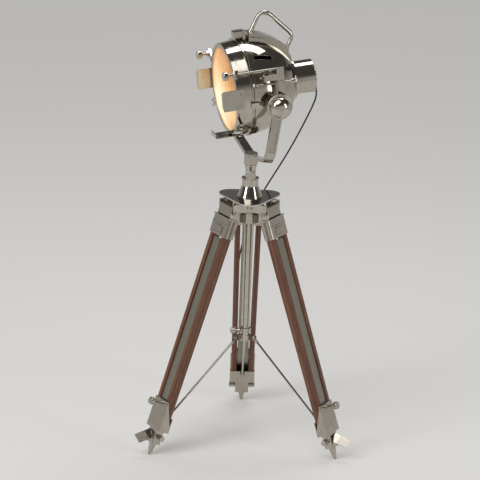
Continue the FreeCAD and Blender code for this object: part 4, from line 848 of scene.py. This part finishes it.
def buildCopyTree():
    tree, given, result = newGroup(
        "copiesOnPoints",
        {"Geometry": "Geometry", "Copy": "Object", "Size": "Float", "Turn Seed": "Int", "Finish": "Material"},
        {"Geometry": "Geometry"}, "GeometryNodeTree",
    )
    heading = addNode(tree, "GeometryNodeInputNamedAttribute", {"Name": "heading"}, data_type="FLOAT_VECTOR")
    upright = facingTo(tree, heading.outputs["Attribute"], "Z")
    furthest = 3  # the random value's upper end, as a number
    chance = addNode(tree, "FunctionNodeRandomValue", {"Seed": given["Turn Seed"], furthest: 2 * math.pi},
                     data_type="FLOAT").outputs[1]
    spin = addNode(tree, "FunctionNodeAxisAngleToRotation", {"Axis": (0, 0, 1), "Angle": chance})
    both = addNode(tree, "FunctionNodeRotateRotation",
                   {"Rotation": upright, "Rotate By": spin.outputs["Rotation"]}, rotation_space="LOCAL")
    source = addNode(tree, "GeometryNodeObjectInfo", {"Object": given["Copy"]}, transform_space="ORIGINAL")
    copies = addNode(tree, "GeometryNodeInstanceOnPoints", {
        "Points": given["Geometry"], "Instance": source.outputs["Geometry"],
        "Rotation": both.outputs["Rotation"], "Scale": given["Size"],
    })
    return finishCopies(tree, result, copies, given["Finish"])


def buildRibTree():
    # A ring of small bars about the z axis, as on a coin's edge
    tree, given, result = newGroup(
        "edgeRibs",
        {"Geometry": "Geometry", "Count": "Int", "Radius": "Float", "Rib Size": "Vector", "Start": "Float",
         "Finish": "Material"},
        {"Geometry": "Geometry"}, "GeometryNodeTree",
    )
    circle = addNode(tree, "GeometryNodeMeshCircle", {"Vertices": given["Count"], "Radius": given["Radius"]})
    outward = facingTo(tree, addNode(tree, "GeometryNodeInputPosition").outputs[0], "X")
    bar = addNode(tree, "GeometryNodeMeshCube", {"Size": given["Rib Size"]}).outputs["Mesh"]
    ring = addNode(tree, "GeometryNodeInstanceOnPoints",
                   {"Points": circle.outputs[0], "Instance": bar, "Rotation": outward})
    return finishCopies(tree, result, ring, given["Finish"], given["Start"])


copyTree = buildCopyTree()
ribTree = buildRibTree()


def runTree(piece, tree, values):
    modifier = piece.modifiers.new("make", "NODES")
    modifier.node_group = tree
    sockets = {item.name: item.identifier for item in tree.interface.items_tree if item.in_out == "INPUT"}
    for label, value in values.items():
        modifier[sockets[label]] = value
    return plainMesh(piece)


def pointObject(name, spots):
    # spots holds pairs of a place and the way that the copy's top faces
    mesh = bpy.data.meshes.new(name)
    mesh.from_pydata([place for place, heading in spots], [], [])
    attribute = mesh.attributes.new("heading", "FLOAT_VECTOR", "POINT")
    for item, (place, heading) in zip(attribute.data, spots):
        item.vector = heading
    return addObject(name, mesh)


def setCopies(name, spots, copy, finish, seed):
    values = {"Copy": copy, "Size": 1.0, "Turn Seed": seed, "Finish": finishes[finish]}
    piece = runTree(pointObject(name, spots), copyTree, values)
    if "heading" in piece.data.attributes:
        piece.data.attributes.remove(piece.data.attributes["heading"])
    bpy.data.objects.remove(copy)
    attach(piece, "lamp_head")
    return piece


# Slotted screws and round rivets
screw = {"radius": 0.005, "head": 0.0025, "slotWide": 0.0011, "slotDeep": 0.0011, "shank": 0.0025,
         "shankLong": 0.007, "chamfer": 0.0005, "crown": 0.9, "sides": 24, "arcSteps": 12, "seed": 4}
rivet = {"radius": 0.0027, "high": 0.0015, "rings": 4, "steps": 16, "seed": 9}


def slottedHead():
    # Two half discs with a slot between them, on a thin base and a shank
    low = screw["head"] - screw["slotDeep"]
    profile = [(-screw["shankLong"], 0), (-screw["shankLong"], screw["shank"]), (0, screw["shank"]),
               (0, screw["radius"]), (low, screw["radius"]), (low, 0)]
    base = lathe("screwBase", profile, screw["sides"], turn(-90, "Y"))
    vertices = [vertex.co.copy() for vertex in base.data.vertices]
    faces = [tuple(polygon.vertices) for polygon in base.data.polygons]
    bpy.data.objects.remove(base)
    half = screw["slotWide"] / 2
    reach = math.asin(half / screw["radius"])
    count = screw["arcSteps"] + 1
    levels = ((low, 1.0), (screw["head"] - screw["chamfer"], 1.0), (screw["head"], screw["crown"]))
    for side in (1, -1):
        first = len(vertices)
        for height, grow in levels:
            radius = screw["radius"] * grow
            for step in range(count):
                angle = reach + (math.pi - 2 * reach) * step / screw["arcSteps"]
                across = max(radius * math.sin(angle), half)
                vertices.append(Vector((side * radius * math.cos(angle), side * across, height)))
        for ring in (first, first + count):
            for step in range(count):
                ahead = (step + 1) % count
                faces.append((ring + step, ring + ahead, ring + count + ahead, ring + count + step))
        faces.append(tuple(range(first + 2 * count, first + 3 * count)))
        faces.append(tuple(range(first, first + count)))
    return meshObject("screwCopy", vertices, faces, smooth=False)


def rivetHead():
    profile = [(0, 0), (0, rivet["radius"])]
    for ring in range(1, rivet["rings"]):
        angle = math.pi / 2 * ring / rivet["rings"]
        profile.append((rivet["high"] * math.sin(angle), rivet["radius"] * math.cos(angle)))
    profile.append((rivet["high"], 0))
    return lathe("rivetCopy", profile, rivet["steps"], turn(-90, "Y"))


def lampSpot(place, heading):
    matrix = onLampAxis()
    return matrix @ Vector(place), matrix.to_3x3() @ Vector(heading)


holder = {"angles": (90, 180, 270), "screwAt": 0.012, "screwHalf": 0.019, "radius": 0.17102}
cap = {"circle": 0.053, "back": 0.331, "screws": 4, "firstScrew": 45}
hood = {"start": 0.102, "end": 0.238, "count": 8, "half": 0.037, "domeStart": 0.080, "domeRadius": 0.176,
        "domeCurve": 0.1946, "shelf": 0.008}


def holderScrewSpots():
    spots = []
    for angle in holder["angles"]:
        around = turn(-angle, "X")
        for side in (-1, 1):
            place = around @ Vector((-holder["screwAt"], side * holder["screwHalf"], holder["radius"]))
            spots.append(lampSpot(place, around.to_3x3() @ Vector((0, 0, 1))))
    return spots


def capScrewSpots():
    spots = []
    for number in range(cap["screws"]):
        angle = math.radians(cap["firstScrew"] + 360 / cap["screws"] * number)
        place = (-cap["back"], cap["circle"] * math.cos(angle), cap["circle"] * math.sin(angle))
        spots.append(lampSpot(place, (-1, 0, 0)))
    return spots


def hoodRivetSpots():
    # along both edges of the hood, on the shelf that follows the dome
    spots = []
    curve = hood["domeCurve"] + hood["shelf"]
    for count in range(hood["count"]):
        station = hood["start"] + (hood["end"] - hood["start"]) * count / (hood["count"] - 1)
        rise = math.sqrt(curve ** 2 - (station - hood["domeStart"]) ** 2)
        height = hood["domeRadius"] - hood["domeCurve"] + rise
        heading = (hood["domeStart"] - station, 0, rise)
        for side in (-1, 1):
            spots.append(lampSpot((-station, side * hood["half"], height), heading))
    return spots


screwSpots = holderScrewSpots() + capScrewSpots()
headScrews = setCopies("slottedScrews", screwSpots, slottedHead(), "machinedSteel", screw["seed"])
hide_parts("head_screws")
setCopies("hoodRivets", hoodRivetSpots(), rivetHead(), "rodNickel", rivet["seed"])
print("screws and rivets set")


# Knurled edges on the round grips
tiltGrip = {"start": 0.2118, "radius": 0.0469, "count": 90, "rib": (0.0010, 0.0014, 0.0042),
            "finish": "turnedLamp"}
panGrip = {"start": 0.0495, "radius": 0.0184, "count": 44, "rib": (0.0009, 0.0012, 0.0062),
           "finish": "turnedStand", "height": 1.034}
panGripFrame = tripodAxis @ Matrix.Translation((0, 0, panGrip["height"])) @ turn(90, "X")
knurls = {
    "tiltKnurl_near": (tiltGrip, lampFrame() @ turn(-90, "X"), "tilt_knob_near"),
    "tiltKnurl_far": (tiltGrip, lampFrame() @ turn(90, "X"), "tilt_knob_far"),
    "panKnurl": (panGrip, panGripFrame, "pan_lock_knob"),
}


def makeKnurls():
    for name, (grip, matrix, body) in knurls.items():
        start = addObject(name, bpy.data.meshes.new(name))
        ring = runTree(start, ribTree, {
            "Count": grip["count"], "Radius": grip["radius"], "Rib Size": grip["rib"], "Start": grip["start"],
            "Finish": finishes[grip["finish"]],
        })
        ring.data.transform(matrix)
        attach(ring, body)


makeKnurls()
print("grips knurled")


# Studio: pale floor, soft boxes and an even room
studio = {
    "floor": (0.80, 0.79, 0.77),
    "floorMottle": 0.97,
    "mottleScale": 2.0,
    "floorRough": 0.9,
    "floorShine": 0.1,
    "floorGlow": 0.30,
    "floorReach": 40,
    "room": (0.02, (0.50, 0.49, 0.48)),
    "ceiling": (0.32, (0.075, 0.072, 0.068)),
    "aimHeight": 0.9,
    "boxes": {
        "key": {"place": (-3.2, -2.6, 3.6), "size": (1.5, 2.6), "power": 72},
        "fill": {"place": (3.6, -2.4, 2.2), "size": (1.0, 2.4), "power": 32},
        "top": {"place": (0.4, 1.2, 4.6), "size": (2.2, 1.2), "power": 50},
    },
    "even": {"strength": 1.2, "spread": 50, "sideways": -18, "forward": 28},
}


def makeFloor():
    reach = studio["floorReach"]
    corners = [(-reach, -reach, 0), (reach, -reach, 0), (reach, reach, 0), (-reach, reach, 0)]
    floor = meshObject("floor", corners, [(0, 1, 2, 3)], smooth=False)
    material, tree, shader = newMaterial("paleFloor")
    grain = noise(tree, ownCoordinates(tree), studio["mottleScale"], 3.0)["Fac"]
    mottled = tuple(part * studio["floorMottle"] for part in studio["floor"])
    setInputs(tree, shader, {
        "Base Color": blendColour(tree, grain, mottled, studio["floor"]),
        "Roughness": studio["floorRough"],
        "Specular IOR Level": studio["floorShine"],
    })
    # the camera, metal and glass see it a little brighter than its light on the object
    rays = addNode(tree, "ShaderNodeLightPath").outputs
    seen = maths(tree, "MAXIMUM", rays["Is Camera Ray"], rays["Is Glossy Ray"])
    seen = maths(tree, "MAXIMUM", seen, rays["Is Transmission Ray"])
    light = addNode(tree, "ShaderNodeEmission", {"Color": (*studio["floor"], 1), "Strength": 1.0}).outputs[0]
    share = times(tree, seen, studio["floorGlow"])
    mixed = addNode(tree, "ShaderNodeMixShader", {0: share, 1: shader.outputs[0], 2: light})
    tree.links.new(mixed.outputs[0], tree.nodes["Material Output"].inputs["Surface"])
    floor.data.materials.append(material)


def makeRoom():
    # pale near the horizon and darker overhead, which gives the nickel its shape
    world = bpy.data.worlds.new("studio")
    scene.world = world
    world.use_nodes = True
    tree = world.node_tree
    direction = addNode(tree, "ShaderNodeTexCoord").outputs["Generated"]
    height = addNode(tree, "ShaderNodeSeparateXYZ", {0: direction}).outputs["Z"]
    shade = ramp(tree, height, [studio["room"], studio["ceiling"]])
    tree.links.new(shade, tree.nodes["Background"].inputs["Color"])


def makeLights():
    for name, box in studio["boxes"].items():
        data = bpy.data.lights.new(name, "AREA")
        data.shape = "RECTANGLE"
        data.size, data.size_y = box["size"]
        data.energy = box["power"]
        heading = (Vector((0, 0, studio["aimHeight"])) - Vector(box["place"])).to_track_quat("-Z", "Y")
        addObject(name, data).matrix_world = Matrix.Translation(box["place"]) @ heading.to_matrix().to_4x4()
    even = studio["even"]
    sun = bpy.data.lights.new("evenLight", "SUN")
    sun.energy = even["strength"]
    sun.angle = math.radians(even["spread"])
    addObject("evenLight", sun).matrix_world = turn(even["sideways"], "Y") @ turn(even["forward"], "X")


makeFloor()
makeRoom()
makeLights()
scene.view_settings.view_transform = "Standard"
print("studio set")
